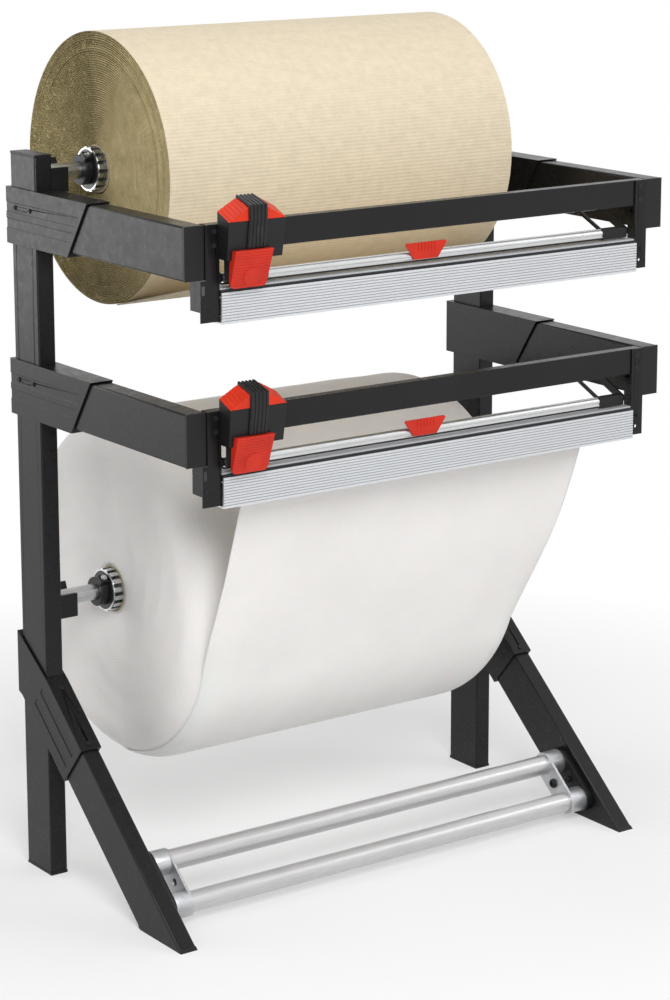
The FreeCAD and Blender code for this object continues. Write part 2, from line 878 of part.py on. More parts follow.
def make_profile(top):
    """Hollow extrusion with a ribbed front, a groove for the strip and a raised ledge behind it."""
    x_low, x_high = profile_ends()
    front = face_y - profile_front
    rear = front + profile_depth
    low = top - profile_drop - profile_height
    high = top - profile_drop
    ledge = high + ledge_rise
    groove_front = front + profile_wall
    groove_rear = groove_front + strip_width
    wall = profile_wall
    outline = [
        (front, low),
        (rear, low),
        (rear, ledge),
        (groove_rear, ledge),
        (groove_rear, high - strip_depth),
        (groove_front, high - strip_depth),
        (groove_front, high),
        (front, high),
    ]
    pitch = profile_height / rib_count
    for index in range(rib_count - 1):
        centre = high - pitch * (index + 1)
        half = rib_groove_width / 2
        outline.append((front, centre + half))
        outline.append((front + rib_groove_depth, centre + half * 0.6))
        outline.append((front + rib_groove_depth, centre - half * 0.6))
        outline.append((front, centre - half))
    body = along_x(outline, x_low, x_high)
    hollow = [
        (front + wall + rib_groove_depth, low + wall),
        (rear - wall, low + wall),
        (rear - wall, ledge - wall),
        (groove_rear + wall, ledge - wall),
        (groove_rear + wall, high - strip_depth - wall),
        (front + wall + rib_groove_depth, high - strip_depth - wall),
    ]
    body = body.cut(along_x(hollow, x_low - 1, x_high + 1))
    for y, z in profile_ports(top):
        port = rod_x(x_low, x_high, y, z, screw_radius + wall)
        reach = low if z < (low + high) / 2 else ledge
        rib = box((x_low, x_high), (y - wall / 2, y + wall / 2), (min(z, reach), max(z, reach)))
        rib = rib.common(along_x(outline, x_low, x_high))
        body = body.fuse(port).fuse(rib)
        body = body.cut(rod_x(x_low - 1, x_high + 1, y, z, screw_radius))
    return body.removeSplitter()


def make_strip(top):
    """Black strip in the profile's groove, with the slot that the blade runs in."""
    x_low, x_high = profile_ends()
    front = face_y - profile_front + profile_wall
    rear = front + strip_width
    low = top - profile_drop - strip_depth
    high = top - profile_drop + strip_rise
    middle = (front + rear) / 2
    half = strip_slot_width / 2
    outline = [
        (front, low),
        (rear, low),
        (rear, high),
        (middle + half, high),
        (middle + half, low + strip_floor),
        (middle - half, low + strip_floor),
        (middle - half, high),
        (front, high),
    ]
    return along_x(outline, x_low, x_high)


def bar_section(top):
    """Front, rear, bottom and top of the press bar."""
    front = face_y - bar_front
    low = top - profile_drop + ledge_rise + press_gap + lip_height
    return front, front + bar_depth, low, low + bar_height


def bar_range():
    return -half_width + bar_left_inset, half_width - bar_right_inset


def make_press_bar(top):
    """Aluminium bar with a rounded top and a slot for the rubber lip."""
    front, rear, low, high = bar_section(top)
    x_low, x_high = bar_range()
    radius = bar_depth / 2
    middle = (front + rear) / 2
    shoulder = high - radius
    step = 1.0
    tongue = lip_tongue_width / 2
    points = [
        (front, shoulder),
        (front, shoulder - step),
        (front + step, shoulder - 2 * step),
        (front + step, low + 2 * step),
        (front, low + step),
        (front, low),
        (middle - tongue, low),
        (middle - tongue, low + lip_tongue_height),
        (middle + tongue, low + lip_tongue_height),
        (middle + tongue, low),
        (rear, low),
        (rear, shoulder),
    ]
    vectors = [Vector(x_low, y, z) for y, z in points]
    edges = [Part.makeLine(a, b) for a, b in zip(vectors, vectors[1:])]
    edges.append(Part.Arc(vectors[-1], Vector(x_low, middle, high), vectors[0]).toShape())
    face = Part.Face(Part.Wire(edges))
    return face.extrude(Vector(x_high - x_low, 0, 0))


def make_lip(top):
    front, rear, low, _ = bar_section(top)
    x_low, x_high = bar_range()
    middle = (front + rear) / 2
    lip = box((x_low, x_high), (middle - lip_width / 2, middle + lip_width / 2), (low - lip_height, low))
    tongue = lip_tongue_width / 2
    return lip.fuse(
        box((x_low, x_high), (middle - tongue, middle + tongue), (low, low + lip_tongue_height))
    )


def link(top, x_low, x_high, height):
    """A flat arm from the pivot to the middle of the press bar's end."""
    y_pivot, z_pivot = pivot_centre(top)
    front, rear, low, high = bar_section(top)
    y_bar, z_bar = (front + rear) / 2, (low + high) / 2
    run = Vector(0, y_bar - y_pivot, z_bar - z_pivot)
    across = run.cross(X_AXIS).normalize() * (height / 2)
    outline = [
        (y_pivot + across.y, z_pivot + across.z),
        (y_bar + across.y, z_bar + across.z),
        (y_bar - across.y, z_bar - across.z),
        (y_pivot - across.y, z_pivot - across.z),
    ]
    arm = along_x(outline, x_low, x_high)
    arm = arm.fuse(rod_x(x_low, x_high, y_pivot, z_pivot, pivot_radius + collar_wall))
    return arm.fuse(rod_x(x_low, x_high, y_bar, z_bar, height / 2))


def make_press_arms(top):
    """Left arm, and the right-hand fork: arm, thin stay and the block that ends the bar."""
    x_left = -half_width + arm_plate_inset
    left = link(top, x_left, -half_width + bar_left_inset, arm_plate_height)
    x_right = half_width - arm_plate_inset
    right = link(top, x_right - arm_plate_thickness, x_right, arm_plate_height)
    front, rear, low, high = bar_section(top)
    x_block = bar_range()[1]
    block = box((x_block, x_right - arm_plate_thickness), (front, rear), (low - lip_height, high))
    block = eased(block, 2.0, X_AXIS)
    x_stay = half_width - stay_inset
    stay = link(top, x_stay - arm_plate_thickness, x_stay, stay_height)
    right = right.fuse(block).fuse(stay)
    y, z = pivot_centre(top)
    shaft_hole = rod_x(-half_width, half_width, y, z, pivot_radius)
    return [left.cut(shaft_hole), right.cut(shaft_hole).removeSplitter()]


def make_press_shaft(top):
    y, z = pivot_centre(top)
    reach = arm_inner - button_clearance
    return rod_x(-reach, reach, y, z, pivot_radius)


def make_handle(top):
    """Red lift tab on the front of the press bar, with upright ribs."""
    front, rear, low, high = bar_section(top)
    base = low + 1.0
    crown = base + handle_height
    wide = handle_width_top / 2
    narrow = handle_width_bottom / 2
    outline = [
        (handle_centre - narrow, base),
        (handle_centre + narrow, base),
        (handle_centre + wide, crown - 3),
        (handle_centre + wide - 3, crown),
        (handle_centre - wide + 3, crown),
        (handle_centre - wide, crown - 3),
    ]
    tab = along_y(outline, front - handle_thickness, front)
    pitch = handle_width_bottom / handle_rib_count
    for index in range(handle_rib_count - 1):
        x = handle_centre - handle_width_bottom / 2 + pitch * (index + 1)
        groove = box((x - 1, x + 1), (front - handle_thickness - 1, front - handle_thickness + 1), (high, crown + 1))
        tab = tab.cut(groove)
    saddle = box(
        (handle_centre - narrow, handle_centre + narrow), (front, rear), (high - bar_depth / 2, high + 3)
    )
    saddle = saddle.cut(make_press_bar(top))
    return tab.fuse(saddle).removeSplitter()


def carriage_range():
    low = -half_width + carriage_left_inset
    return low, low + carriage_width


def bridge_range():
    """Where the housing reaches over the beam, behind the crown."""
    low, high = carriage_range()
    return low + bridge_left_inset, high - bridge_right_inset


def carriage_front_outline(top, lower):
    """Front view of the housing: straight above the deck, narrowing a little to the lower edge."""
    low, high = carriage_range()
    deck = top + carriage_deck_rise
    above = deck + carriage_ridge_rise
    return [
        (low + carriage_taper, lower),
        (high - carriage_taper, lower),
        (high, deck),
        (high, above),
        (low, above),
        (low, deck),
    ]


def housing_front(top, z):
    """Y of the housing's leaning front at height z."""
    deck = top + carriage_deck_rise
    return face_y - carriage_front + (deck - z) * math.tan(math.radians(carriage_lean))


def carriage_profile(top, lower, ridge_z):
    """Side view of the housing in front of the beam, rising to ridge_z at its back."""
    return [
        (face_y - carriage_front, top + carriage_deck_rise),
        (face_y - carriage_ridge, ridge_z),
        (face_y - carriage_ridge, lower),
        (housing_front(top, lower), lower),
    ]


def crown_prism(top, grow, x_low, x_high, lower):
    """The crown's sloping shape on the deck, grown outward by grow."""
    front = face_y - carriage_front - grow
    rear = face_y - carriage_ridge + grow
    outline = [
        (front, lower),
        (front, top + crown_front_rise + grow * 0.8),
        (rear, top + carriage_crown_rise + grow),
        (rear, lower),
    ]
    return along_x(outline, x_low, x_high)


def carriage_middle():
    low, high = carriage_range()
    return (low + high) / 2


def block_outline(top):
    low = -half_width + blade_inset - block_width / 2
    return (low, low + block_width), (top - block_bottom_drop, top + carriage_deck_rise)


def blade_centre(top):
    slot_floor = top - profile_drop - strip_depth + strip_floor
    return -half_width + blade_inset, slot_floor + 2.0 + blade_radius


def blade_y():
    return face_y - profile_front + profile_wall + strip_width / 2


def make_carriage_body(top):
    """Housing that straddles the beam, with the block that carries the blade in front."""
    front = face_y - carriage_front
    rear = face_y - carriage_rear
    deck = top + carriage_deck_rise
    skirt = top - carriage_skirt_drop
    shell = carriage_shell
    low, high = carriage_range()
    beam_front = face_y - arm_reach
    channel_front = face_y - carriage_ridge
    channel_rear = beam_front + beam_depth + glide_thickness + glide_clearance
    ceiling = top + glide_clearance + glide_top_thickness
    housing = along_x(carriage_profile(top, skirt, deck + carriage_ridge_rise), low, high)
    housing = housing.common(along_y(carriage_front_outline(top, skirt), front, rear))
    inner_x = (low + carriage_taper + shell, high - carriage_taper - shell)
    pocket_y = (housing_front(top, skirt) + shell, channel_front - shell)
    housing = housing.cut(box(inner_x, pocket_y, (skirt - 1, deck - shell)))
    bridge_x = bridge_range()
    bridge = box(bridge_x, (channel_front - shell, rear), (skirt, deck))
    bridge = bridge.cut(box((low, high), (channel_front - FAR, channel_rear), (skirt - 1, ceiling)))
    inner_x = (bridge_x[0] + shell, bridge_x[1] - shell)
    bridge = bridge.cut(box(inner_x, (channel_rear + shell, rear - shell), (skirt - 1, deck - shell)))
    housing = housing.fuse(bridge)
    block_x, block_z = block_outline(top)
    block_y = (face_y - block_front, face_y - block_rear)
    block = box(block_x, block_y, block_z)
    half = core_width / 2
    middle = carriage_middle()
    core = crown_prism(top, 0, middle - half, middle + half, deck)
    hollow = crown_prism(top, -shell, middle - half + shell, middle + half - shell, deck + shell)
    core = core.cut(hollow)
    x, z = blade_centre(top)
    y = blade_y()
    hub_front = y - blade_hub_thickness / 2 - blade_side_play
    hub_rear = y + blade_hub_thickness / 2 + blade_side_play
    spacer = rod_y(face_y - block_rear - 1, hub_front, x, z, blade_hub_radius)
    pin = rod_y(face_y - block_rear - 1, hub_rear, x, z, blade_pin_radius)
    head = rod_y(hub_rear, hub_rear + blade_pin_head_thickness, x, z, blade_pin_head_radius)
    body = housing.fuse(block).fuse(core).fuse(pin).fuse(spacer).fuse(head)
    for place in peg_places(top):
        body = body.cut(rod_x(low, high, place[0], place[1], button_peg_radius + peg_clearance))
    return body.removeSplitter()


def peg_places(top):
    """Where the buttons' pegs enter the crown, above the housing's slope."""
    front = face_y - carriage_front
    depth = carriage_front - carriage_ridge
    roof = top + carriage_deck_rise + carriage_ridge_rise
    height = roof + button_peg_radius + peg_clearance + button_clearance + 1
    return [(front + depth * 0.3, height), (front + depth * 0.75, height)]


def make_glides(top):
    """Sliding pads between the housing and the beam, near both ends of the carriage."""
    low, high = carriage_range()
    beam_front = face_y - arm_reach
    beam_rear = beam_front + beam_depth
    pads = []
    z_range = (top - beam_height * 0.8, top - beam_height * 0.2)
    for start in (low + glide_inset, high - glide_inset - glide_length):
        x_range = (start, start + glide_length)
        front_y = (beam_front - glide_thickness - glide_clearance, beam_front - glide_clearance)
        pads.append(box(x_range, front_y, z_range))
    low, high = bridge_range()
    for start in (low + rear_glide_inset, high - rear_glide_inset - glide_length):
        x_range = (start, start + glide_length)
        rear_y = (beam_rear + glide_clearance, beam_rear + glide_thickness + glide_clearance)
        pads.append(box(x_range, rear_y, z_range))
        top_z = (top + glide_clearance, top + glide_clearance + glide_top_thickness)
        pads.append(box(x_range, (beam_front + 2, beam_rear - 2), top_z))
    return pads


def make_band(top):
    """Black grip band over the crown and down the front, with raised ribs."""
    middle = carriage_middle()
    half = band_width / 2
    low = top + carriage_deck_rise
    foot = top - band_drop
    outer = crown_prism(top, band_thickness, middle - half, middle + half, low)
    band = outer.fuse(band_apron(top, band_thickness, (middle - half, middle + half), foot, low))
    pitch = band_width / band_rib_count
    for index in range(band_rib_count):
        x = middle - half + pitch * (index + 0.5)
        rib_x = (x - band_rib_width / 2, x + band_rib_width / 2)
        grow = band_thickness + band_rib_height
        rib = crown_prism(top, grow, rib_x[0], rib_x[1], low)
        band = band.fuse(rib).fuse(band_apron(top, grow, rib_x, foot, low))
    return band.cut(crown_prism(top, 0, middle - FAR, middle + FAR, low)).removeSplitter()


def band_apron(top, grow, x_range, foot, deck):
    """The part of the band that hangs down the housing's leaning front."""
    low_y = housing_front(top, foot)
    high_y = housing_front(top, deck)
    outline = [(low_y - grow, foot), (low_y, foot), (high_y, deck), (high_y - grow, deck)]
    return along_x(outline, x_range[0], x_range[1])


def make_left_button(top):
    """Red shoulder piece: a hip shape with grooves up its slope and pegs into the crown."""
    low, _ = carriage_range()
    inner = carriage_middle() - core_width / 2 - button_travel - button_clearance
    front = face_y - carriage_front + button_clearance
    ridge = face_y - carriage_ridge - button_clearance
    base = top + carriage_deck_rise + button_clearance * 2
    roof = base + carriage_ridge_rise
    bend = top + crown_front_rise - button_clearance * 3
    crown = top + carriage_crown_rise - button_clearance * 3
    steep = (bend - base) / (inner - low)
    knee = low + (crown - roof) / steep
    if knee > inner:
        raise ValueError("the crown is too high for the carriage's width")
    corners = [
        Vector(low, front, base),
        Vector(inner, front, base),
        Vector(inner, front, bend),
        Vector(low, ridge, roof),
        Vector(inner, ridge, roof),
        Vector(inner, ridge, crown),
        Vector(knee, ridge, crown),
    ]
    rings = [(0, 1, 2), (0, 1, 4, 3), (1, 2, 5, 4), (3, 4, 5, 6), (0, 2, 6, 3), (2, 5, 6)]
    faces = [polygon_face([corners[i] for i in ring]) for ring in rings]
    button = Part.makeSolid(Part.makeShell(faces))
    if button.Volume < 0:
        button.reverse()
    along = Vector(inner - low, 0, bend - base).normalize()
    normal = Vector(-along.z, 0, along.x)
    for index in range(button_groove_count):
        share = (index + 0.7) / button_groove_count
        start = corners[0] + (corners[2] - corners[0]) * share
        half = along * (button_groove_width / 2)
        deep = normal * button_groove_depth
        ring = [start - half + deep, start + half + deep, start + half - deep, start - half - deep]
        button = button.cut(polygon_face(ring).extrude(Vector(0, ridge - front, carriage_ridge_rise)))
    for y, z in peg_places(top):
        button = button.fuse(rod_x(inner - 1, inner + button_peg_length, y, z, button_peg_radius))
    return button.removeSplitter()


def across_carriage(shape):
    return shape.mirror(Vector(carriage_middle(), 0, 0), Vector(1, 0, 0))


def lean_cut(top, forward):
    """Everything in front of the cover's leaning face, moved forward."""
    high = top - cover_top_drop
    low = top - cover_bottom_drop
    slope = cover_lean / (high - low)
    y_top = face_y - cover_front - forward
    outline = [
        (y_top, high),
        (y_top + cover_lean + slope * 20, low - 20),
        (y_top - 100, low - 20),
        (y_top - 100, high + 20),
        (y_top - slope * 20, high + 20),
    ]
    return along_x(outline, -half_width, half_width)


def cover_outline(top, inset):
    high = top - cover_top_drop - inset
    low = top - cover_bottom_drop + inset
    left_top = -half_width + cover_left_top + inset
    right_top = -half_width + cover_right_top - inset
    left_low = -half_width + cover_left_bottom + inset
    right_low = -half_width + cover_right_bottom - inset
    return [(left_low, low), (right_low, low), (right_top, high), (left_top, high)]


def make_cover(top):
    """Red blade cover: an open-backed shell with a leaning, grooved front and a round boss."""
    rear = face_y - block_front
    front = face_y - cover_front - cover_boss_rise - 1
    solid = along_y(cover_outline(top, 0), front, rear)
    corners = [e for e in edges_along(solid, Y_AXIS) if e.BoundBox.ZMax < top - cover_bottom_drop + 1]
    solid = solid.makeFillet(cover_corner, corners)
    shell = solid.cut(lean_cut(top, 0))
    pitch = (cover_bottom_drop - cover_top_drop) / (cover_groove_count + 1)
    slope = cover_lean / (cover_bottom_drop - cover_top_drop)
    for index in range(cover_groove_count):
        z = top - cover_top_drop - pitch * (index + 1)
        y = face_y - cover_front + slope * pitch * (index + 1)
        z_range = (z - cover_groove_width / 2, z + cover_groove_width / 2)
        shell = shell.cut(box((-half_width, 0), (y - 2, y + cover_groove_depth), z_range))
    x, z = blade_centre(top)
    boss = rod_y(front, rear, x, z, cover_boss_radius).common(solid).cut(lean_cut(top, cover_boss_rise))
    shell = shell.fuse(boss)
    hollow = along_y(cover_outline(top, cover_wall), front, rear + 1)
    hollow = hollow.cut(lean_cut(top, -cover_wall))
    skirt = top - carriage_skirt_drop
    profile = carriage_profile(top, skirt, top + carriage_deck_rise)
    housing = along_x(profile, -half_width, half_width)
    return shell.cut(hollow).cut(housing).removeSplitter()


def make_blade(top):
    """Round blade with a bevelled edge and a thicker hub."""
    x, z = blade_centre(top)
    y = blade_y()
    half = blade_thickness / 2
    disc = rod_y(y - half, y + half, x, z, blade_radius - blade_bevel)
    tip = Part.makeCone(
        blade_radius - blade_bevel, blade_radius, half, Vector(x, y - half, z), Vector(0, 1, 0)
    )
    tail = Part.makeCone(
        blade_radius, blade_radius - blade_bevel, half, Vector(x, y, z), Vector(0, 1, 0)
    )
    hub = rod_y(y - blade_hub_thickness / 2, y + blade_hub_thickness / 2, x, z, blade_hub_radius)
    bore = rod_y(y - 5, y + 5, x, z, blade_pin_radius + blade_bore_clearance)
    return disc.fuse(tip).fuse(tail).fuse(hub).cut(bore).removeSplitter()


def make_frame():
    """Uprights, struts, arms, brackets, plugs and screws, by node name."""
    tops = {"upper": upper_arm_top, "lower": lower_arm_top}
    upright = make_upright()
    strut = make_strut()
    arms = {tier: make_arm(top) for tier, top in tops.items()}
    arm_brackets = [make_arm_bracket(top) for top in tops.values()]
    strut_bracket = make_strut_bracket()
    screws = []
    for bolt, hole in bracket_screws():
        screws.extend(both_sides(bolt))
        upright = upright.cut(hole)
        strut = strut.cut(hole)
        strut_bracket = strut_bracket.cut(hole)
        arm_brackets = [bracket.cut(hole) for bracket in arm_brackets]
    bolt, hole = clamp_bolt()
    screws.extend(both_sides(bolt))
    strut = strut.cut(hole)
    cutter_fixings = []
    parts = {}
    for tier, top in tops.items():
        plate = make_end_plate(top)
        beam = make_beam(top)
        profile = make_profile(top)
        for bolt, hole in cutter_screws(top):
            cutter_fixings.extend(both_sides(bolt))
            arms[tier] = arms[tier].cut(hole)
            plate = plate.cut(hole)
            for tool in both_sides(hole):
                beam = beam.cut(tool)
                profile = profile.cut(tool)
        left_plate = left_plate_details(plate, top)
        cutter_fixings.append(tab_rivet(top)[0])
        right_plate = right_plate_details(mirrored(plate), top)
        parts[tier + "_guide_beam"] = beam
        parts[tier + "_end_plates"] = group([left_plate, right_plate])
        parts[tier + "_cutting_profile"] = profile
        parts[tier + "_left_arm"] = arms[tier]
        parts[tier + "_right_arm"] = mirrored(arms[tier])
    parts["left_upright"] = upright
    parts["right_upright"] = mirrored(upright)
    parts["left_strut"] = strut
    parts["right_strut"] = mirrored(strut)
    parts["arm_brackets"] = group([side for bracket in arm_brackets for side in both_sides(bracket)])
    parts["strut_brackets"] = group(both_sides(strut_bracket))
    parts["plugs_and_feet"] = group([side for plug in make_plugs() for side in both_sides(plug)])
    parts["frame_screws"] = group(screws)
    parts["cutter_screws"] = group(cutter_fixings)
    parts["cross_tubes"] = group(make_cross_tubes())
    parts["tube_clamps"] = group(both_sides(make_clamp()))
    cradles = [make_cradle(height) for height in (upper_roll_height, lower_roll_height)]
    parts["roll_cradles"] = group([side for cradle in cradles for side in both_sides(cradle)])
    parts["cutting_strips"] = group([make_strip(top) for top in tops.values()])
    return parts


def make_roll_set(tier, material, height, radius, edge, inset):
    hub, steel = chuck_pieces(height, inset)
    return {
        tier + "_roll_shaft": make_shaft(height),
        tier + "_chuck_hubs": group([hub, other_end(hub)]),
        tier + "_chuck_cones": group(steel + [other_end(piece) for piece in steel]),
        tier + "_roll_core": make_core(height, inset),
        material + "_roll": make_roll(height, radius, edge, inset),
    }


def make_cutter(tier, top):
    button = make_left_button(top)
    return {
        tier + "_press_bar": make_press_bar(top),
        tier + "_press_lip": make_lip(top),
        tier + "_press_arms": group(make_press_arms(top)),
        tier + "_press_shaft": make_press_shaft(top),
        tier + "_lift_handle": make_handle(top),
        tier + "_carriage_body": make_carriage_body(top),
        tier + "_glide_pads": group(make_glides(top)),
        tier + "_grip_band": make_band(top),
        tier + "_left_button": button,
        tier + "_right_button": across_carriage(button),
        tier + "_blade_cover": make_cover(top),
        tier + "_blade": make_blade(top),
    }


def make_all():
    parts = make_frame()
    upper = (upper_roll_height, upper_roll_radius)
    lower = (lower_roll_height, lower_roll_radius)
    parts.update(make_roll_set("upper", "corrugated", *upper, upper_roll_edge, upper_core_inset))
    parts.update(make_roll_set("lower", "foam", *lower, lower_roll_edge, lower_core_inset))
    parts["corrugated_web"] = make_web(upper_arm_top, *upper)
    parts["foam_web"] = make_web(lower_arm_top, *lower)
    parts.update(make_cutter("upper", upper_arm_top))
    parts.update(make_cutter("lower", lower_arm_top))
    return parts


os.makedirs("parts", exist_ok=True)
for name, shape in make_all().items():
    shape.exportStep("parts/" + name + ".step")
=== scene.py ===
import math

import bpy
import numpy as np
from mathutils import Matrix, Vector


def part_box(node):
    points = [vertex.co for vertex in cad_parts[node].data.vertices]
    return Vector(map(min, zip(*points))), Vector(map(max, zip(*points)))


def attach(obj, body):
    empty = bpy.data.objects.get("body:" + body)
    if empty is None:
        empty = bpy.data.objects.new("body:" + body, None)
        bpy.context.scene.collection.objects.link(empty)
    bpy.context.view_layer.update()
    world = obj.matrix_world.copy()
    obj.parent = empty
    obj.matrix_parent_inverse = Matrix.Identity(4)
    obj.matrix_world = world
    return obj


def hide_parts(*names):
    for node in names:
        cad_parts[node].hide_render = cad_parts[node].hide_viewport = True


# A floor stand with two rolls and two cutters. Metres, front is -Y, Z is up.
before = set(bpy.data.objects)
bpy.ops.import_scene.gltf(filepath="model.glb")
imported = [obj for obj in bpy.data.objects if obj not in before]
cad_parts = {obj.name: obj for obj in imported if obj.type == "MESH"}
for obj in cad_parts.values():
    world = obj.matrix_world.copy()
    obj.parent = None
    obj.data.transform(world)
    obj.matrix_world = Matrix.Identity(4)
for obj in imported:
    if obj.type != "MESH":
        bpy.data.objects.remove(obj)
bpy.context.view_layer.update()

MM = 0.001
FULL_TURN = 2 * math.pi
TIERS = ("upper", "lower")
SIDES = ("left", "right")


# Material helpers

# Sockets of a Mix node that is set to colours
MIX_FACTOR, MIX_FIRST, MIX_SECOND = 0, 6, 7
MIX_RESULT = 2

# Stretches a pattern along X, as drawing does to metal
STREAKS = (2.0, 300.0, 300.0)


def toned(colour, share):
    """The colour made darker or lighter."""
    return tuple(min(1.0, part * share) for part in colour)


class Shader:
    """A material whose nodes are added one after the other."""

    def __init__(self, name):
        self.material = bpy.data.materials.new(name)
        self.material.use_nodes = True
        self.tree = self.material.node_tree
        self.tree.nodes.clear()
        self.output = self.tree.nodes.new("ShaderNodeOutputMaterial")
        self.surface = self.tree.nodes.new("ShaderNodeBsdfPrincipled")
        self.tree.links.new(self.surface.outputs["BSDF"], self.output.inputs["Surface"])
        self.where = self.tree.nodes.new("ShaderNodeTexCoord").outputs["Object"]

    def put(self, socket, value):
        """Link a socket or set its value. None leaves it alone."""
        if isinstance(value, bpy.types.NodeSocket):
            self.tree.links.new(value, socket)
        elif value is not None:
            socket.default_value = value

    def node(self, kind, inputs, **settings):
        made = self.tree.nodes.new(kind)
        for name, value in settings.items():
            setattr(made, name, value)
        for key, value in inputs.items():
            self.put(made.inputs[key], value)
        return made

    def set(self, **values):
        """Set inputs of the surface, with _ for the spaces in their names."""
        for name, value in values.items():
            self.put(self.surface.inputs[name.replace("_", " ")], value)

    def stretched(self, factors):
        """Places on the piece, with a pattern's scale changed by a factor in each direction."""
        settings = {"Vector": self.where, "Scale": factors}
        return self.node("ShaderNodeMapping", settings).outputs["Vector"]

    def noise(self, scale, detail, rough, vector=None, distort=0.0):
        """Cloudy noise from 0 to 1, with about scale clouds to a metre."""
        settings = {
            "Vector": vector or self.where,
            "Scale": scale,
            "Detail": detail,
            "Roughness": rough,
            "Distortion": distort,
        }
        return self.node("ShaderNodeTexNoise", settings).outputs["Fac"]

    def cells(self, scale):
        """Distance from the middle of small cells, about scale of them to a metre."""
        settings = {"Vector": self.where, "Scale": scale}
        return self.node("ShaderNodeTexVoronoi", settings).outputs["Distance"]

    def ramp(self, factor, stops):
        """Colours or shares of grey, each at its place from 0 to 1."""
        made = self.node("ShaderNodeValToRGB", {"Fac": factor})
        elements = made.color_ramp.elements
        while len(elements) < len(stops):
            elements.new(0.5)
        for element, (place, colour) in zip(elements, stops):
            element.position = place
            if not isinstance(colour, tuple):
                colour = (colour, colour, colour)
            element.color = (*colour, 1.0)
        return made.outputs["Color"]

    def mix(self, factor, first, second):
        made = self.node("ShaderNodeMix", {}, data_type="RGBA")
        self.put(made.inputs[MIX_FACTOR], factor)
        for socket, colour in ((MIX_FIRST, first), (MIX_SECOND, second)):
            self.put(made.inputs[socket], (*colour, 1.0) if isinstance(colour, tuple) else colour)
        return made.outputs[MIX_RESULT]

    def maths(self, operation, first, second=None):
        return self.node("ShaderNodeMath", {0: first, 1: second}, operation=operation).outputs[0]

    def bump(self, height, distance, strength, before=None):
        """Relief with a full height of distance, laid over an earlier one where given."""
        settings = {"Height": height, "Distance": distance, "Strength": strength, "Normal": before}
        return self.node("ShaderNodeBump", settings).outputs["Normal"]

    def split(self):
        return self.node("ShaderNodeSeparateXYZ", {"Vector": self.where}).outputs

    def from_axis(self, first, second, axis):
        """The two offsets from an axis, and the distance from it."""
        aside = self.maths("SUBTRACT", first, axis[0])
        above = self.maths("SUBTRACT", second, axis[1])
        squares = (self.maths("MULTIPLY", aside, aside), self.maths("MULTIPLY", above, above))
        return aside, above, self.maths("SQRT", self.maths("ADD", *squares))

    def wound(self, axis, layer):
        """For what is wound round an X axis: distance from it, angle round it and turns outward."""
        x, y, z = self.split()
        aside, above, reach = self.from_axis(y, z, axis)
        angle = self.maths("ARCTAN2", above, aside)
        turn = self.maths("DIVIDE", angle, FULL_TURN)
        return reach, angle, self.maths("SUBTRACT", self.maths("DIVIDE", reach, layer), turn)


def powder_coat(name, colour, gloss):
    """Painted steel: fine orange peel, slight cloudiness and pale specks."""
    made = Shader(name)
    cloud = made.noise(9.0, 4.0, 0.6)
    grain = made.noise(1100.0, 2.0, 0.5)
    tone = made.ramp(cloud, ((0.3, toned(colour, 0.82)), (0.7, toned(colour, 1.22))))
    specks = made.ramp(made.noise(2600.0, 1.0, 0.5), ((0.62, 0.0), (0.78, 0.05)))
    tone = made.mix(specks, tone, toned(colour, 2.4))
    rub = made.ramp(made.noise(60.0, 5.0, 0.7), ((0.35, gloss - 0.05), (0.75, gloss + 0.10)))
    made.set(Base_Color=tone, Roughness=rub, IOR=1.34)
    made.set(Normal=made.bump(grain, 0.04 * MM, 0.5))
    return made.material


def moulded(name, colour, gloss, grain=0.06 * MM, scale=1500.0):
    """Injection-moulded plastic with a fine spark-eroded texture."""
    made = Shader(name)
    cloud = made.noise(22.0, 3.0, 0.5)
    tone = made.ramp(cloud, ((0.3, toned(colour, 0.88)), (0.7, toned(colour, 1.1))))
    rub = made.ramp(made.noise(140.0, 4.0, 0.6), ((0.3, gloss - 0.05), (0.8, gloss + 0.12)))
    made.set(Base_Color=tone, Roughness=rub, IOR=1.36)
    made.set(Normal=made.bump(made.noise(scale, 2.0, 0.6), grain, 0.6))
    return made.material


def drawn_metal(name, colour, gloss, streak, metal=1.0):
    """Drawn metal with streaks along X. A streak is the share by which its tone departs."""
    made = Shader(name)
    lines = made.noise(9.0, 5.0, 0.65, made.stretched(STREAKS))
    blotch = made.noise(14.0, 4.0, 0.6)
    low = toned(colour, 1 - streak)
    tone = made.ramp(lines, ((0.3, low), (0.7, toned(colour, 1 + streak * 0.5))))
    tone = made.mix(made.ramp(blotch, ((0.4, 0.0), (0.8, 0.25))), tone, low)
    rub = made.ramp(lines, ((0.25, gloss - 0.06), (0.75, gloss + 0.12)))
    made.set(Base_Color=tone, Metallic=metal, Roughness=rub)
    made.set(Normal=made.bump(lines, 0.04 * MM, 0.5))
    return made.material


def grooved_metal(name, front):
    """The cutting profile: pale extrusion, with painted shade in the grooves just behind its front face.
    """
    made = Shader(name)
    colour = (0.66, 0.675, 0.70)
    ramp_length = 4 * MM
    lines = made.noise(9.0, 5.0, 0.65, made.stretched(STREAKS))
    specks = made.ramp(made.noise(420.0, 2.0, 0.5), ((0.56, 0.0), (0.70, 0.45)))
    tone = made.ramp(lines, ((0.3, toned(colour, 0.92)), (0.7, colour)))
    tone = made.mix(specks, tone, toned(colour, 0.55))
    x, y, z = made.split()
    behind = made.maths("MULTIPLY", made.maths("SUBTRACT", y, front), 1 / ramp_length)
    # Painted shade: the colour darkens in the grooves, from about 0.16 to 1.44 mm behind the front face.
    groove_shade = made.ramp(behind, ((0.04, 0.0), (0.10, 0.75), (0.28, 0.75), (0.36, 0.0)))
    tone = made.mix(groove_shade, tone, toned(colour, 0.42))
    rub = made.ramp(lines, ((0.25, 0.38), (0.75, 0.56)))
    made.set(Base_Color=tone, Metallic=0.45, Roughness=rub)
    made.set(Normal=made.bump(lines, 0.04 * MM, 0.5))
    return made.material


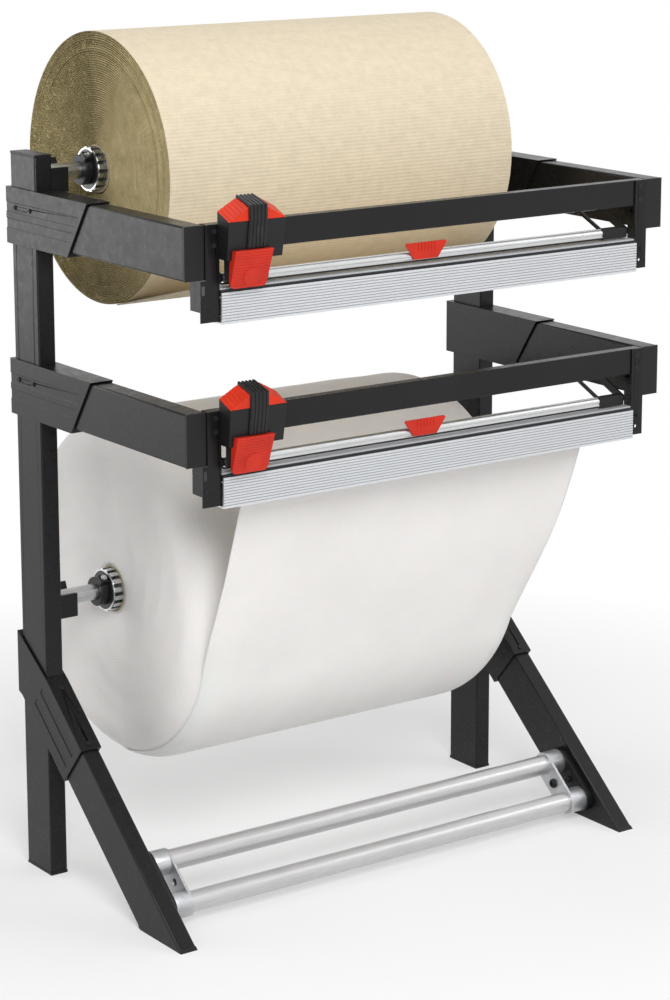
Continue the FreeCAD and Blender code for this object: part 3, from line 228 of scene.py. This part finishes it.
def cast_metal(name, colour, gloss):
    """Cast metal with small pits, painted shade in them, and cloudy dull areas."""
    made = Shader(name)
    pits = made.noise(380.0, 4.0, 0.7)
    cloud = made.noise(30.0, 4.0, 0.6)
    tone = made.ramp(cloud, ((0.3, toned(colour, 0.75)), (0.7, colour)))
    # Painted shade: the colour darkens in the low spots of the pits.
    tone = made.mix(made.ramp(pits, ((0.35, 0.5), (0.55, 0.0))), tone, toned(colour, 0.5))
    rub = made.ramp(cloud, ((0.3, gloss), (0.7, gloss + 0.15)))
    made.set(Base_Color=tone, Metallic=0.85, Roughness=rub)
    made.set(Normal=made.bump(pits, 0.25 * MM, 0.7))
    return made.material


def chuck_metal(name, axis):
    """Bright teeth and rims with black between them, by distance from the roll's axis."""
    made = Shader(name)
    black = (0.025, 0.026, 0.028)
    dark_to, bright_from = 35.2 * MM, 36.2 * MM
    ramp_length = 100 * MM
    x, y, z = made.split()
    aside, above, reach = made.from_axis(y, z, axis)
    along_ramp = made.maths("MULTIPLY", reach, 1 / ramp_length)
    bright = made.ramp(along_ramp, ((dark_to / ramp_length, 0.0), (bright_from / ramp_length, 1.0)))
    stain = made.noise(90.0, 4.0, 0.6)
    steel = made.ramp(stain, ((0.3, (0.52, 0.53, 0.54)), (0.7, (0.80, 0.81, 0.82))))
    metal = made.ramp(bright, ((0.4, 0.2), (0.6, 1.0)))
    rub = made.ramp(stain, ((0.3, 0.22), (0.8, 0.42)))
    made.set(Base_Color=made.mix(bright, black, steel), Metallic=metal, Roughness=rub)
    made.set(Normal=made.bump(made.noise(700.0, 3.0, 0.6), 0.06 * MM, 0.6))
    return made.material


def kraft(name, colour, gloss):
    """Unbleached paper: long fibres, pale and dark flecks and slight mottling."""
    made = Shader(name)
    mottle = made.noise(55.0, 5.0, 0.6)
    fibres = made.noise(260.0, 4.0, 0.6, made.stretched((0.35, 1.0, 1.0)), 0.6)
    flecks = made.noise(900.0, 2.0, 0.5)
    tone = made.ramp(mottle, ((0.32, toned(colour, 0.94)), (0.68, toned(colour, 1.04))))
    tone = made.mix(made.ramp(fibres, ((0.55, 0.0), (0.80, 0.35))), tone, toned(colour, 0.70))
    tone = made.mix(made.ramp(flecks, ((0.68, 0.0), (0.80, 0.55))), tone, toned(colour, 0.50))
    tone = made.mix(made.ramp(flecks, ((0.20, 0.5), (0.30, 0.0))), tone, toned(colour, 1.35))
    made.set(Base_Color=tone, Roughness=gloss, IOR=1.35, Sheen_Weight=0.08)
    made.set(Normal=made.bump(fibres, 0.12 * MM, 0.6, made.bump(flecks, 0.08 * MM, 0.5)))
    return made.material


def board_end(name, axis, layer):
    """The wound roll's end: flutes seen end on between the turns, with painted shade in the hollows."""
    made = Shader(name)
    wave_length = 6.8 * MM
    wander_waves = 5.0
    waves_per_turn = 0.37
    reach, angle, turns = made.wound(axis, layer)
    count = made.maths("FLOOR", turns)
    wander = made.maths("MULTIPLY", made.noise(60.0, 2.0, 0.5), wander_waves)
    waves = made.maths("DIVIDE", made.maths("MULTIPLY", reach, angle), wave_length)
    phase = made.maths("ADD", waves, wander)
    phase = made.maths("ADD", phase, made.maths("MULTIPLY", count, waves_per_turn))
    wave = made.maths("PINGPONG", phase, 0.5)
    inside = made.maths("SUBTRACT", turns, count)
    tent = made.maths("MULTIPLY", made.maths("PINGPONG", inside, 0.5), 2.0)
    flute = made.maths("ABSOLUTE", made.maths("SUBTRACT", tent, made.maths("MULTIPLY", wave, 2.0)))
    hollow = made.ramp(flute, ((0.10, 0.0), (0.34, 1.0)))
    liner = made.ramp(tent, ((0.10, 1.0), (0.24, 0.0)))
    open_share = made.maths("MULTIPLY", hollow, made.maths("SUBTRACT", 1.0, liner))
    cover = made.maths("SUBTRACT", 1.0, open_share)
    mottle = made.noise(34.0, 5.0, 0.7)
    fleck = made.noise(1300.0, 3.0, 0.6)
    paper = made.ramp(mottle, ((0.30, (0.46, 0.37, 0.185)), (0.70, (0.66, 0.545, 0.30))))
    paper = made.mix(made.ramp(fleck, ((0.58, 0.0), (0.75, 0.7))), paper, (0.17, 0.14, 0.07))
    paper = made.mix(made.ramp(fleck, ((0.25, 0.55), (0.36, 0.0))), paper, (0.70, 0.61, 0.40))
    # Painted shade: the open flute hollows take this darker colour.
    hollow_shade = made.ramp(mottle, ((0.30, (0.17, 0.145, 0.065)), (0.70, (0.29, 0.25, 0.12))))
    made.set(Base_Color=made.mix(cover, hollow_shade, paper), Roughness=0.92, IOR=1.3)
    height = made.maths("ADD", cover, made.maths("MULTIPLY", fleck, 0.5))
    made.set(Normal=made.bump(height, 1.1 * MM, 0.85))
    return made.material


def foam_skin(name, colour, winding=None):
    """Closed-cell foam sheet: fine cells, soft creases and, where wound, faint edges of its turns, with
    painted shade along those edges.
    """
    made = Shader(name)
    cells = made.cells(520.0)
    crease = made.noise(26.0, 5.0, 0.62, distort=0.4)
    cloud = made.noise(5.0, 4.0, 0.6)
    tone = made.ramp(cloud, ((0.3, toned(colour, 0.93)), (0.7, colour)))
    tone = made.mix(made.ramp(cells, ((0.3, 0.0), (0.8, 0.25))), tone, toned(colour, 0.86))
    rub = made.ramp(crease, ((0.3, 0.50), (0.7, 0.68)))
    made.set(Base_Color=tone, Roughness=rub, IOR=1.4)
    made.set(Subsurface_Weight=0.12, Subsurface_Scale=4 * MM, Sheen_Weight=0.15)
    normal = made.bump(cells, 0.18 * MM, 0.45)
    normal = made.bump(crease, 1.6 * MM, 0.45, normal)
    if winding:
        wander_turns = 1.6
        reach, angle, even_turns = made.wound(*winding)
        wander = made.maths("MULTIPLY", made.noise(7.0, 3.0, 0.6), wander_turns)
        turns = made.maths("ADD", even_turns, wander)
        ridge = made.maths("PINGPONG", turns, 0.5)
        normal = made.bump(made.ramp(ridge, ((0.0, 0.0), (0.30, 1.0))), 0.5 * MM, 0.2, normal)
        # Painted shade: a faint dark line along the edge of each turn.
        turn_edge_shade = made.ramp(ridge, ((0.0, 0.07), (0.10, 0.0)))
        made.set(Base_Color=made.mix(turn_edge_shade, tone, toned(colour, 0.72)))
    made.set(Normal=normal)
    return made.material


def rubber(name, colour, gloss):
    """Dull rubber or hard strip with a little dust on it."""
    made = Shader(name)
    dust = made.noise(45.0, 5.0, 0.7)
    tone = made.ramp(dust, ((0.35, colour), (0.8, toned(colour, 1.9))))
    rub = made.ramp(dust, ((0.3, gloss), (0.8, gloss + 0.15)))
    made.set(Base_Color=tone, Roughness=rub, IOR=1.40)
    made.set(Normal=made.bump(made.noise(1200.0, 2.0, 0.6), 0.05 * MM, 0.5))
    return made.material


def ground_steel(name, axis):
    """The blade: rings left by grinding, round its own axis."""
    made = Shader(name)
    rings_per_metre = 2500.0
    x, y, z = made.split()
    aside, above, reach = made.from_axis(x, z, axis)
    outward = made.node("ShaderNodeCombineXYZ", {"X": made.maths("MULTIPLY", reach, rings_per_metre)})
    rings = made.noise(1.0, 4.0, 0.7, outward.outputs[0])
    tone = made.ramp(rings, ((0.3, (0.55, 0.56, 0.58)), (0.7, (0.80, 0.81, 0.83))))
    rub = made.ramp(rings, ((0.3, 0.16), (0.7, 0.32)))
    made.set(Base_Color=tone, Metallic=1.0, Roughness=rub)
    made.set(Normal=made.bump(rings, 0.02 * MM, 0.5))
    return made.material


# Where things are, read from the frame

def middle(node):
    low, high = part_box(node)
    return (low + high) / 2


def size_of(node):
    low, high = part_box(node)
    return high - low


rolls = {"upper": "corrugated_roll", "lower": "foam_roll"}
shaft = {tier: middle(tier + "_roll_shaft") for tier in TIERS}
roll_y = shaft["upper"].y
roll_axis = {tier: (roll_y, shaft[tier].z) for tier in TIERS}
roll_radius = {tier: size_of(rolls[tier]).z / 2 for tier in TIERS}
roll_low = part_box("corrugated_roll")[0].x
roll_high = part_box("corrugated_roll")[1].x
roll_width = roll_high - roll_low
core_outer = size_of("upper_roll_core").z / 2
core_gap = 0.2 * MM
board_layer = 4.0 * MM
foam_layer = 5.2 * MM
foam_edge = 70 * MM

frame_paint = powder_coat("frame paint", (0.0068, 0.0065, 0.0073), 0.30)
dark_screw = powder_coat("black screw", (0.018, 0.018, 0.020), 0.30)
black_plastic = moulded("black plastic", (0.007, 0.007, 0.0075), 0.38)
housing_black = moulded("housing black", (0.0085, 0.0085, 0.0095), 0.42, scale=1100.0)
red_plastic = moulded("red plastic", (0.53, 0.022, 0.008), 0.42, grain=0.04 * MM)
# A lighter copy of the red plastic: painted light for the red parts that are lit more.
red_painted_lit = moulded("red plastic with painted light", (0.60, 0.030, 0.007), 0.42, grain=0.04 * MM)
bar_metal = drawn_metal("bar aluminium", (0.70, 0.705, 0.71), 0.28, 0.30)
tube_metal = drawn_metal("zinc tube", (0.62, 0.615, 0.62), 0.34, 0.24, metal=0.85)
shaft_metal = drawn_metal("shaft steel", (0.66, 0.67, 0.69), 0.26, 0.14)
clamp_metal = cast_metal("clamp casting", (0.62, 0.63, 0.65), 0.36)
strip_black = rubber("cutting strip", (0.008, 0.008, 0.009), 0.36)
lip_rubber = rubber("lip rubber", (0.016, 0.016, 0.017), 0.55)
band_rubber = rubber("band rubber", (0.007, 0.007, 0.008), 0.34)
core_paper = kraft("core board", (0.36, 0.29, 0.17), 0.85)
board_paper = kraft("corrugated board", (0.72, 0.625, 0.465), 0.84)
board_side = board_end("wound board end", roll_axis["upper"], board_layer)
foam_colour = (0.86, 0.838, 0.815)
foam_flat = foam_skin("foam sheet", foam_colour)
foam_wound = foam_skin("wound foam", foam_colour, (roll_axis["lower"], foam_layer))


# Looks of the CAD pieces

def ease(piece, width):
    """Weld the imported corners and round the hard edges, width in millimetres."""
    weld = piece.modifiers.new("weld", "WELD")
    weld.merge_threshold = 0.01 * MM
    bevel = piece.modifiers.new("bevel", "BEVEL")
    bevel.width = width * MM
    bevel.segments = 2
    bevel.limit_method = "ANGLE"
    bevel.angle_limit = math.radians(35)
    bevel.harden_normals = True


def dress(node, material, edge=None):
    """Give a CAD node its material and, where asked, eased edges, width in millimetres."""
    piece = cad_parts[node]
    piece.data.materials.clear()
    piece.data.materials.append(material)
    if edge:
        ease(piece, edge)


dress("arm_brackets", frame_paint, 0.9)
dress("strut_brackets", frame_paint, 0.9)
dress("plugs_and_feet", black_plastic)
dress("frame_screws", dark_screw)
dress("cutter_screws", dark_screw)
dress("cross_tubes", tube_metal)
dress("tube_clamps", clamp_metal, 1.6)
dress("roll_cradles", black_plastic, 0.8)
dress("cutting_strips", strip_black)
for side in SIDES:
    dress(side + "_upright", frame_paint, 1.2)
    dress(side + "_strut", frame_paint, 1.2)
for tier in TIERS:
    for side in SIDES:
        dress(f"{tier}_{side}_arm", frame_paint, 1.2)
        # The buttons take the lighter red copy, which is painted light.
        dress(f"{tier}_{side}_button", red_painted_lit, 0.8)
    dress(tier + "_guide_beam", frame_paint)
    dress(tier + "_end_plates", frame_paint, 0.5)
    profile = tier + "_cutting_profile"
    dress(profile, grooved_metal(tier + " ribbed aluminium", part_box(profile)[0].y))
    dress(tier + "_press_bar", bar_metal)
    dress(tier + "_press_lip", lip_rubber)
    dress(tier + "_press_arms", black_plastic, 0.4)
    dress(tier + "_press_shaft", shaft_metal)
    dress(tier + "_lift_handle", red_plastic, 0.5)
    dress(tier + "_carriage_body", housing_black, 1.6)
    dress(tier + "_glide_pads", black_plastic)
    dress(tier + "_grip_band", band_rubber, 0.6)
    dress(tier + "_blade_cover", red_plastic, 1.0)
    blade_at = middle(tier + "_blade")
    dress(tier + "_blade", ground_steel(tier + " blade steel", (blade_at.x, blade_at.z)))
    dress(tier + "_roll_shaft", shaft_metal)
    dress(tier + "_chuck_hubs", black_plastic, 1.2)
    dress(tier + "_chuck_cones", chuck_metal(tier + " chuck metal", roll_axis[tier]))
    dress(tier + "_roll_core", core_paper)


# Mesh helpers

def new_piece(name, corners, faces, material):
    """A smoothly shaded object of one material."""
    mesh = bpy.data.meshes.new(name)
    mesh.from_pydata([tuple(corner) for corner in corners], [], faces)
    mesh.update()
    piece = bpy.data.objects.new(name, mesh)
    bpy.context.scene.collection.objects.link(piece)
    mesh.materials.append(material)
    mesh.polygons.foreach_set("use_smooth", [True] * len(mesh.polygons))
    return piece


def round_axis(x, radius, angle, centre):
    """A point at an angle round the X axis through centre."""
    return (x, centre.y + radius * math.cos(angle), centre.z + radius * math.sin(angle))


def lathe(name, profile, centre, steps, material, wobble=None):
    """Turn (x, radius) points round the X axis through centre. The profile is closed."""
    corners = []
    for step in range(steps):
        angle = FULL_TURN * step / steps
        for x, radius in profile:
            if wobble:
                dx, dr = wobble(x, radius, angle)
                x, radius = x + dx, radius + dr
            corners.append(round_axis(x, radius, angle, centre))
    count = len(profile)
    faces = []
    for step in range(steps):
        here, there = step * count, ((step + 1) % steps) * count
        for index in range(count):
            after = (index + 1) % count
            faces.append((here + index, here + after, there + after, there + index))
    return new_piece(name, corners, faces, material)


def closed_sheet(name, rows, material):
    """A thin sheet from rows of (upper, lower) point pairs, closed all round."""
    corners = []
    for row in rows:
        for upper, lower in row:
            corners.append(upper)
            corners.append(lower)
    wide = len(rows[0])
    faces = []
    for row in range(len(rows) - 1):
        for column in range(wide - 1):
            a = (row * wide + column) * 2
            b, c = a + 2, a + wide * 2
            faces.append((a, b, c + 2, c))
            faces.append((a + 1, c + 1, c + 3, b + 1))
        for column in (0, wide - 1):
            a = (row * wide + column) * 2
            c = a + wide * 2
            quad = (a, c, c + 1, a + 1)
            faces.append(quad if column == 0 else quad[::-1])
    for row in (0, len(rows) - 1):
        for column in range(wide - 1):
            a = (row * wide + column) * 2
            quad = (a, a + 1, a + 3, a + 2)
            faces.append(quad if row == 0 else quad[::-1])
    return new_piece(name, corners, faces, material)


# The corrugated roll: a fluted skin, and a spiral of turns at both ends

def make_corrugated_skin():
    """Flutes along the roll, which sag a little from place to place."""
    centre = shaft["upper"]
    flutes, steps_per_flute = 232, 6
    flute_depth = 0.4 * MM
    skin_margin, end_margin = 0.4 * MM, 1 * MM
    outer = roll_radius["upper"] - skin_margin
    bands = np.linspace(roll_low + end_margin, roll_high - end_margin, 26)
    sag_places = 24
    sag_spread, sag_limit = 0.12 * MM, 0.3 * MM
    sags = np.random.default_rng(3).normal(0.0, sag_spread, (len(bands), sag_places))
    count = flutes * steps_per_flute
    corners = []
    faces = []
    for row, x in enumerate(bands):
        for step in range(count):
            angle = FULL_TURN * step / count
            wave = 0.5 - 0.5 * math.cos(angle * flutes)
            place = angle / FULL_TURN * sag_places
            low = int(place) % sag_places
            blend = place - int(place)
            sag = sags[row][low] * (1 - blend) + sags[row][(low + 1) % sag_places] * blend
            radius = outer - flute_depth * wave + min(sag_limit, sag)
            corners.append(round_axis(x, radius, angle, centre))
    for row in range(len(bands) - 1):
        here, there = row * count, (row + 1) * count
        for step in range(count):
            after = (step + 1) % count
            faces.append((here + step, here + after, there + after, there + step))
    return new_piece("corrugated_roll_skin", corners, faces, board_paper)


def make_corrugated_end(side, face_x, inward, seed):
    """A spiral of board edges at face_x, with one turn that stands a little proud."""
    centre = shaft["upper"]
    skin_margin = 1 * MM
    limit = roll_radius["upper"] - skin_margin
    turns = (limit - core_outer - core_gap) / board_layer
    steps_per_turn = 128
    total = int(turns * steps_per_turn)
    # Share of the way across a layer, and millimetres behind the layer's edge
    layer_shape = ((0.0, 3.2), (0.02, 0.0), (0.16, 0.0), (0.20, 2.2), (0.92, 2.6))
    usual_depth, depth_spread = 0.6 * MM, 0.3 * MM
    depths = usual_depth + np.random.default_rng(seed).normal(0.0, depth_spread, int(turns) + 3)
    proud = int(turns * 0.83)
    depths[proud - 3 : proud] = 1.5 * MM
    depths[proud : proud + 2] = 0.0
    depths[proud + 2 : proud + 5] = 1.3 * MM
    corners = []
    faces = []
    for step in range(total + 1):
        angle = FULL_TURN * step / steps_per_turn
        spiral = step / steps_per_turn
        radius = core_outer + core_gap + board_layer * spiral
        turn = int(spiral)
        blend = spiral - turn
        push = max(0.0, depths[turn] * (1 - blend) + depths[turn + 1] * blend)
        for across, back in layer_shape:
            reach = min(limit, radius + board_layer * across)
            corners.append(round_axis(face_x + inward * (push + back * MM), reach, angle, centre))
    wide = len(layer_shape)
    for step in range(total):
        here, there = step * wide, (step + 1) * wide
        for index in range(wide - 1):
            quad = (here + index, here + index + 1, there + index + 1, there + index)
            faces.append(quad if inward < 0 else quad[::-1])
    return new_piece("corrugated_roll_end_" + side, corners, faces, board_side)


def make_corrugated_roll():
    """Skin and both ends. They turn with the upper roll."""
    skin = make_corrugated_skin()
    for side, face_x, inward, seed in (("left", roll_low, 1, 11), ("right", roll_high, -1, 12)):
        end = make_corrugated_end(side, face_x, inward, seed)
        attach(end, "upper_roll")
    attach(skin, "upper_roll")
    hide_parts("corrugated_roll")


# The foam roll and the clamps' bolt heads

def make_foam_roll():
    """Soft wound foam: rounded corners, dished ends and a slightly uneven skin."""
    centre = shaft["lower"]
    outer = roll_radius["lower"]
    hub = core_outer + core_gap
    dish_depth, dish_share = 16 * MM, 0.48
    face_points, corner_points, barrel_points, steps_round = 26, 12, 34, 192
    corner_start = outer - foam_edge
    left = []
    for share in np.linspace(0.0, 1.0, face_points):
        dish = dish_depth * max(0.0, 1 - share / dish_share) ** 1.3
        left.append((roll_low + dish, hub + (corner_start - hub) * share))
    for share in np.linspace(0.0, 1.0, corner_points)[1:]:
        angle = math.pi / 2 * share
        x = roll_low + foam_edge * (1 - math.cos(angle))
        left.append((x, corner_start + foam_edge * math.sin(angle)))
    barrel_places = np.linspace(roll_low + foam_edge, roll_high - foam_edge, barrel_points)
    barrel = [(x, outer) for x in barrel_places[1:]]
    right = [(roll_low + roll_high - x, radius) for x, radius in reversed(left[:-1])]
    starts = np.random.default_rng(5).uniform(0, FULL_TURN, 8)

    def wobble(x, radius, angle):
        """Long soft waves of the skin, and shallow ones in the ends, in millimetres and only inward."""
        share = max(0.0, min(1.0, (radius - hub) / (outer - hub)))
        swell = 1.1 * math.sin(3 * angle + starts[0] + 5 * x)
        swell += 0.8 * math.sin(7 * angle + starts[1] - 9 * x)
        swell += 0.6 * math.sin(40 * x + 2 * angle + starts[2])
        wave = 1.2 * math.sin(5 * angle + starts[3] + radius * 60) * share * (1 - share) * 4
        inward = 1 if x < centre.x else -1
        return inward * abs(wave) * MM, share * (min(0.0, swell) - 0.4) * MM

    profile = left + barrel + right
    roll = lathe("foam_roll_wound", profile, centre, steps_round, foam_wound, wobble)
    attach(roll, "lower_roll")
    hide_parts("foam_roll")


def make_bolt_heads():
    """Black socket heads in front of the clamps' bolt holes, sizes in millimetres."""
    centre = middle("tube_clamps")
    low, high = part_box("tube_clamps")
    clamp_length = 36 * MM
    head_height, head_radius, chamfer = 5.6, 8.8, 1.4
    socket_mouth, socket_floor, floor_height = 4.2, 3.8, 1.8
    eye = 0.5
    steps_round = 32
    outline = (
        (0, eye),
        (0, head_radius),
        (head_height - chamfer, head_radius),
        (head_height, head_radius - chamfer),
        (head_height, socket_mouth),
        (floor_height, socket_floor),
        (floor_height, eye),
    )
    for side, face_x, inward in (("left", low.x + clamp_length, 1), ("right", high.x - clamp_length, -1)):
        profile = [(face_x + inward * x * MM, radius * MM) for x, radius in outline]
        head = lathe("clamp_bolt_head_" + side, profile, centre, steps_round, black_plastic)
        ease(head, 0.3)
        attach(head, "stand")


# The drawn material

def web_route(tier, sag):
    """Points down the middle of the web: cut edge, bend behind the profile, roll."""
    centre = shaft[tier]
    half, gap = 1.2 * MM, 0.4 * MM
    reach = roll_radius[tier] + gap + half
    bend_behind = 6 * MM
    ledge_points, free_points, spread = 12, 60, 5
    profile_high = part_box(tier + "_cutting_profile")[1]
    start = Vector((0, middle(tier + "_press_bar").y, profile_high.z + half))
    bend = Vector((0, profile_high.y + bend_behind, profile_high.z + half))
    away = Vector((0, centre.y - bend.y, centre.z - bend.z))
    run = math.sqrt(away.length ** 2 - reach ** 2)
    heading = math.atan2(away.z, away.y) - math.asin(reach / away.length)
    end = bend + Vector((0, math.cos(heading), math.sin(heading))) * run
    points = [start.lerp(bend, share) for share in np.linspace(0, 1, ledge_points)[:-1]]
    corner = len(points)
    normal = Vector((0, math.sin(heading), -math.cos(heading)))
    for share in np.linspace(0, 1, free_points):
        hang = math.sin(math.pi * share ** 0.8) * sag
        points.append(bend.lerp(end, share) + normal * hang)
    return rounded(points, corner, spread)


def rounded(points, corner, spread):
    """The route with its bend eased, by averaging the points near the corner three times."""
    for turn in range(3):
        smoothed = list(points)
        for index in range(max(1, corner - spread + 1), corner + spread):
            smoothed[index] = (points[index - 1] + points[index + 1]) / 2
        points = smoothed
    return points


def sides_of(points):
    """A unit vector across the web at each point."""
    found = []
    for index in range(len(points)):
        ahead = points[min(index + 1, len(points) - 1)] - points[max(index - 1, 0)]
        found.append(Vector((0, -ahead.z, ahead.y)).normalized())
    return found


def walk(route, step):
    """Points at even steps along the route, each with its distance and the direction across."""
    across = sides_of(route)
    marks = [0.0]
    for a, b in zip(route, route[1:]):
        marks.append(marks[-1] + (b - a).length)
    found = []
    index = 0
    for place in np.linspace(0.0, marks[-1], int(marks[-1] / step) + 1):
        while index < len(marks) - 2 and marks[index + 1] < place:
            index += 1
        share = (place - marks[index]) / (marks[index + 1] - marks[index])
        point = route[index].lerp(route[index + 1], share)
        found.append((place, point, across[index].lerp(across[index + 1], share)))
    return found


def make_corrugated_web():
    """A smooth liner above and a waved sheet under it, each as thin as paper."""
    steps = walk(web_route("upper", 0.0), 0.8 * MM)
    columns = np.linspace(roll_low, roll_high, 9)
    flute_pitch = 6.6 * MM
    flute_bottom, flute_height = -1.1 * MM, 1.7 * MM
    liner_bottom, liner_top = 0.8 * MM, 1.2 * MM
    paper_below, paper_above = 0.1 * MM, 0.2 * MM

    def flute(place):
        return flute_bottom + flute_height * (1 + math.cos(FULL_TURN * place / flute_pitch)) / 2

    def rows_between(low_at, high_at):
        rows = []
        for place, point, side in steps:
            high = point + side * high_at(place)
            low = point + side * low_at(place)
            rows.append([((x, high.y, high.z), (x, low.y, low.z)) for x in columns])
        return rows

    liner_rows = rows_between(lambda place: liner_bottom, lambda place: liner_top)
    flute_rows = rows_between(
        lambda place: flute(place) - paper_below,
        lambda place: flute(place) + paper_above,
    )
    liner = closed_sheet("corrugated_board_liner", liner_rows, board_paper)
    flutes = closed_sheet("corrugated_board_flutes", flute_rows, board_paper)
    for piece in (liner, flutes):
        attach(piece, "stand")
    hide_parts("corrugated_web")


def corner_drop(from_end):
    """How far the foam roll's rounded corner lies under its full radius."""
    across = max(0.0, foam_edge - from_end)
    return foam_edge - math.sqrt(foam_edge ** 2 - across ** 2)


def beyond(share, start):
    """0 up to the start, then evenly up to 1."""
    return max(0.0, (share - start) / (1 - start))


def make_foam_web():
    """A foam sheet with a little spring in it, laid on the roll and its rounded edges at the end."""
    centre = shaft["lower"]
    sag = 7 * MM
    route = web_route("lower", sag)
    free = walk(route, 5 * MM)
    straight = free[-1][0]
    half = 1.1 * MM
    thin = 0.15 * MM
    gap = 0.7 * MM
    wrap, wrap_points = math.radians(66), 60
    outward = Vector((0, route[-1].y - centre.y, route[-1].z - centre.z)).normalized()
    onward = Vector((0, -outward.z, outward.y))
    steps = [(place, point, side, half) for place, point, side in free]
    for turn in np.linspace(0.0, wrap, wrap_points)[1:]:
        thick = half + (thin - half) * turn / wrap
        reach = roll_radius["lower"] + gap + thick
        radial = outward * math.cos(turn) + onward * math.sin(turn)
        point = Vector((0, centre.y, centre.z)) + radial * reach
        steps.append((straight + reach * turn, point, -radial, thick))
    rim_step, rim_steps, inner_points = 4 * MM, 20, 50
    near_end = rim_step * rim_steps
    from_end = [rim_step * count for count in range(rim_steps)]
    inner = list(np.linspace(near_end, roll_width - near_end, inner_points))
    places = from_end + inner + [roll_width - value for value in reversed(from_end)]
    starts = np.random.default_rng(8).uniform(0, FULL_TURN, 2)
    first_inset, more_inset = 2 * MM, 22 * MM
    rim_width = 50 * MM
    rows = []
    for place, point, side, thick in steps:
        share = min(1.0, place / straight)
        inset = first_inset + more_inset * share ** 3
        calm = math.sin(math.pi * beyond(share, 0.12))
        laid = beyond(share, 0.45) ** 2
        row = []
        for spot in places:
            across = spot / roll_width
            x = roll_low + inset + (roll_width - 2 * inset) * across
            ripple = 1.3 * MM * math.sin(9 * across + starts[0] + 2 * share)
            ripple += 0.8 * MM * math.sin(23 * across + starts[1] + 6 * share)
            drop = corner_drop(min(x - roll_low, roll_high - x)) * laid
            high = point + side * (ripple * calm + drop) + side * thick
            rim = 1 - min(1.0, min(spot, roll_width - spot) / rim_width)
            low = high - side * 2 * (thick + (thin - thick) * rim * laid)
            row.append(((x, high.y, high.z), (x, low.y, low.z)))
        rows.append(row)
    web = closed_sheet("foam_sheet_web", rows, foam_flat)
    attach(web, "stand")
    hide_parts("foam_web")


make_corrugated_roll()
make_foam_roll()
make_bolt_heads()
make_corrugated_web()
make_foam_web()


# Floor, light and camera

def seen_rays(tree):
    """1 for rays from the camera and for those seen in gloss or through glass."""
    path = tree.nodes.new("ShaderNodeLightPath")
    total = path.outputs["Is Camera Ray"]
    for name in ("Is Glossy Ray", "Is Transmission Ray"):
        both = tree.nodes.new("ShaderNodeMath")
        both.operation = "MAXIMUM"
        tree.links.new(total, both.inputs[0])
        tree.links.new(path.outputs[name], both.inputs[1])
        total = both.outputs[0]
    return total


def make_floor():
    """Pale floor that keeps the shadow near the stand and turns to the white background further out."""
    reach = 9.0
    fade_length = 4.0
    white_share_near = 0.35
    mesh = bpy.data.meshes.new("floor")
    corners = [(-reach, -reach, 0), (reach, -reach, 0), (reach, reach, 0), (-reach, reach, 0)]
    mesh.from_pydata(corners, [], [(0, 1, 2, 3)])
    floor = bpy.data.objects.new("floor", mesh)
    bpy.context.scene.collection.objects.link(floor)
    made = Shader("floor")
    made.set(Base_Color=(0.92, 0.92, 0.92, 1.0), Roughness=0.9)
    away = made.node("ShaderNodeVectorMath", {0: made.where}, operation="LENGTH").outputs["Value"]
    far = made.ramp(made.maths("DIVIDE", away, fade_length), ((0.18, 0.0), (0.44, 1.0)))
    white = made.node("ShaderNodeEmission", {"Color": (1, 1, 1, 1), "Strength": 1.0}).outputs[0]
    white_share = made.ramp(far, ((0.0, white_share_near), (1.0, 1.0)))
    share = made.maths("MULTIPLY", white_share, seen_rays(made.tree))
    blend = made.node("ShaderNodeMixShader", {0: share, 1: made.surface.outputs[0], 2: white})
    made.tree.links.new(blend.outputs[0], made.output.inputs["Surface"])
    mesh.materials.append(made.material)


def make_light(name, place, target, width, height, power):
    """A soft rectangular lamp that faces the target."""
    data = bpy.data.lights.new(name, "AREA")
    data.shape = "RECTANGLE"
    data.size = width
    data.size_y = height
    data.energy = power
    lamp = bpy.data.objects.new(name, data)
    lamp.location = place
    lamp.rotation_euler = (Vector(target) - Vector(place)).to_track_quat("-Z", "Y").to_euler()
    bpy.context.scene.collection.objects.link(lamp)


def make_world():
    """White where it is seen, and weaker as light on the object."""
    as_light, as_seen = 0.36, 1.0
    world = bpy.data.worlds.new("studio")
    bpy.context.scene.world = world
    world.use_nodes = True
    tree = world.node_tree
    background = tree.nodes["Background"]
    strength = tree.nodes.new("ShaderNodeMapRange")
    strength.inputs["To Min"].default_value = as_light
    strength.inputs["To Max"].default_value = as_seen
    tree.links.new(seen_rays(tree), strength.inputs["Value"])
    background.inputs["Color"].default_value = (1, 1, 1, 1)
    tree.links.new(strength.outputs["Result"], background.inputs["Strength"])


def make_camera():
    """The best fit to the photo with a small shift, measured from the left upright's front corner."""
    corner_x, corner_y = -0.510, 0.0805
    from_corner_x, from_corner_y, above_floor = -2.38558, -4.25410, 1.93337
    yaw, pitch = 0.62540, 0.21218
    focal_pixels, picture_pixels = 2814.926, 1000.0
    data = bpy.data.cameras.new("camera")
    camera = bpy.data.objects.new("camera", data)
    bpy.context.scene.collection.objects.link(camera)
    ahead = Vector((math.sin(yaw) * math.cos(pitch), math.cos(yaw) * math.cos(pitch), -math.sin(pitch)))
    camera.location = (from_corner_x + corner_x, from_corner_y + corner_y, above_floor)
    camera.rotation_euler = ahead.to_track_quat("-Z", "Y").to_euler()
    data.sensor_width = 36.0
    data.lens = focal_pixels * data.sensor_width / picture_pixels
    data.shift_x = -0.02096
    data.shift_y = -0.10
    bpy.context.scene.camera = camera


make_floor()
make_light("key", (-2.2, -4.4, 3.8), (0, 0, 0.8), 2.4, 2.4, 222)
make_light("back left", (-3.2, 3.7, 1.6), (-0.4, 0, 0.8), 2.6, 3.0, 56)
make_light("front right", (3.3, -2.4, 2.6), (0.2, -0.2, 0.6), 1.4, 1.4, 16)
make_light("top", (0.5, 0.2, 4.4), (0, 0, 0.6), 2.8, 2.8, 28)
make_world()
make_camera()
bpy.context.scene.view_settings.view_transform = "Standard"

bpy.context.view_layer.update()
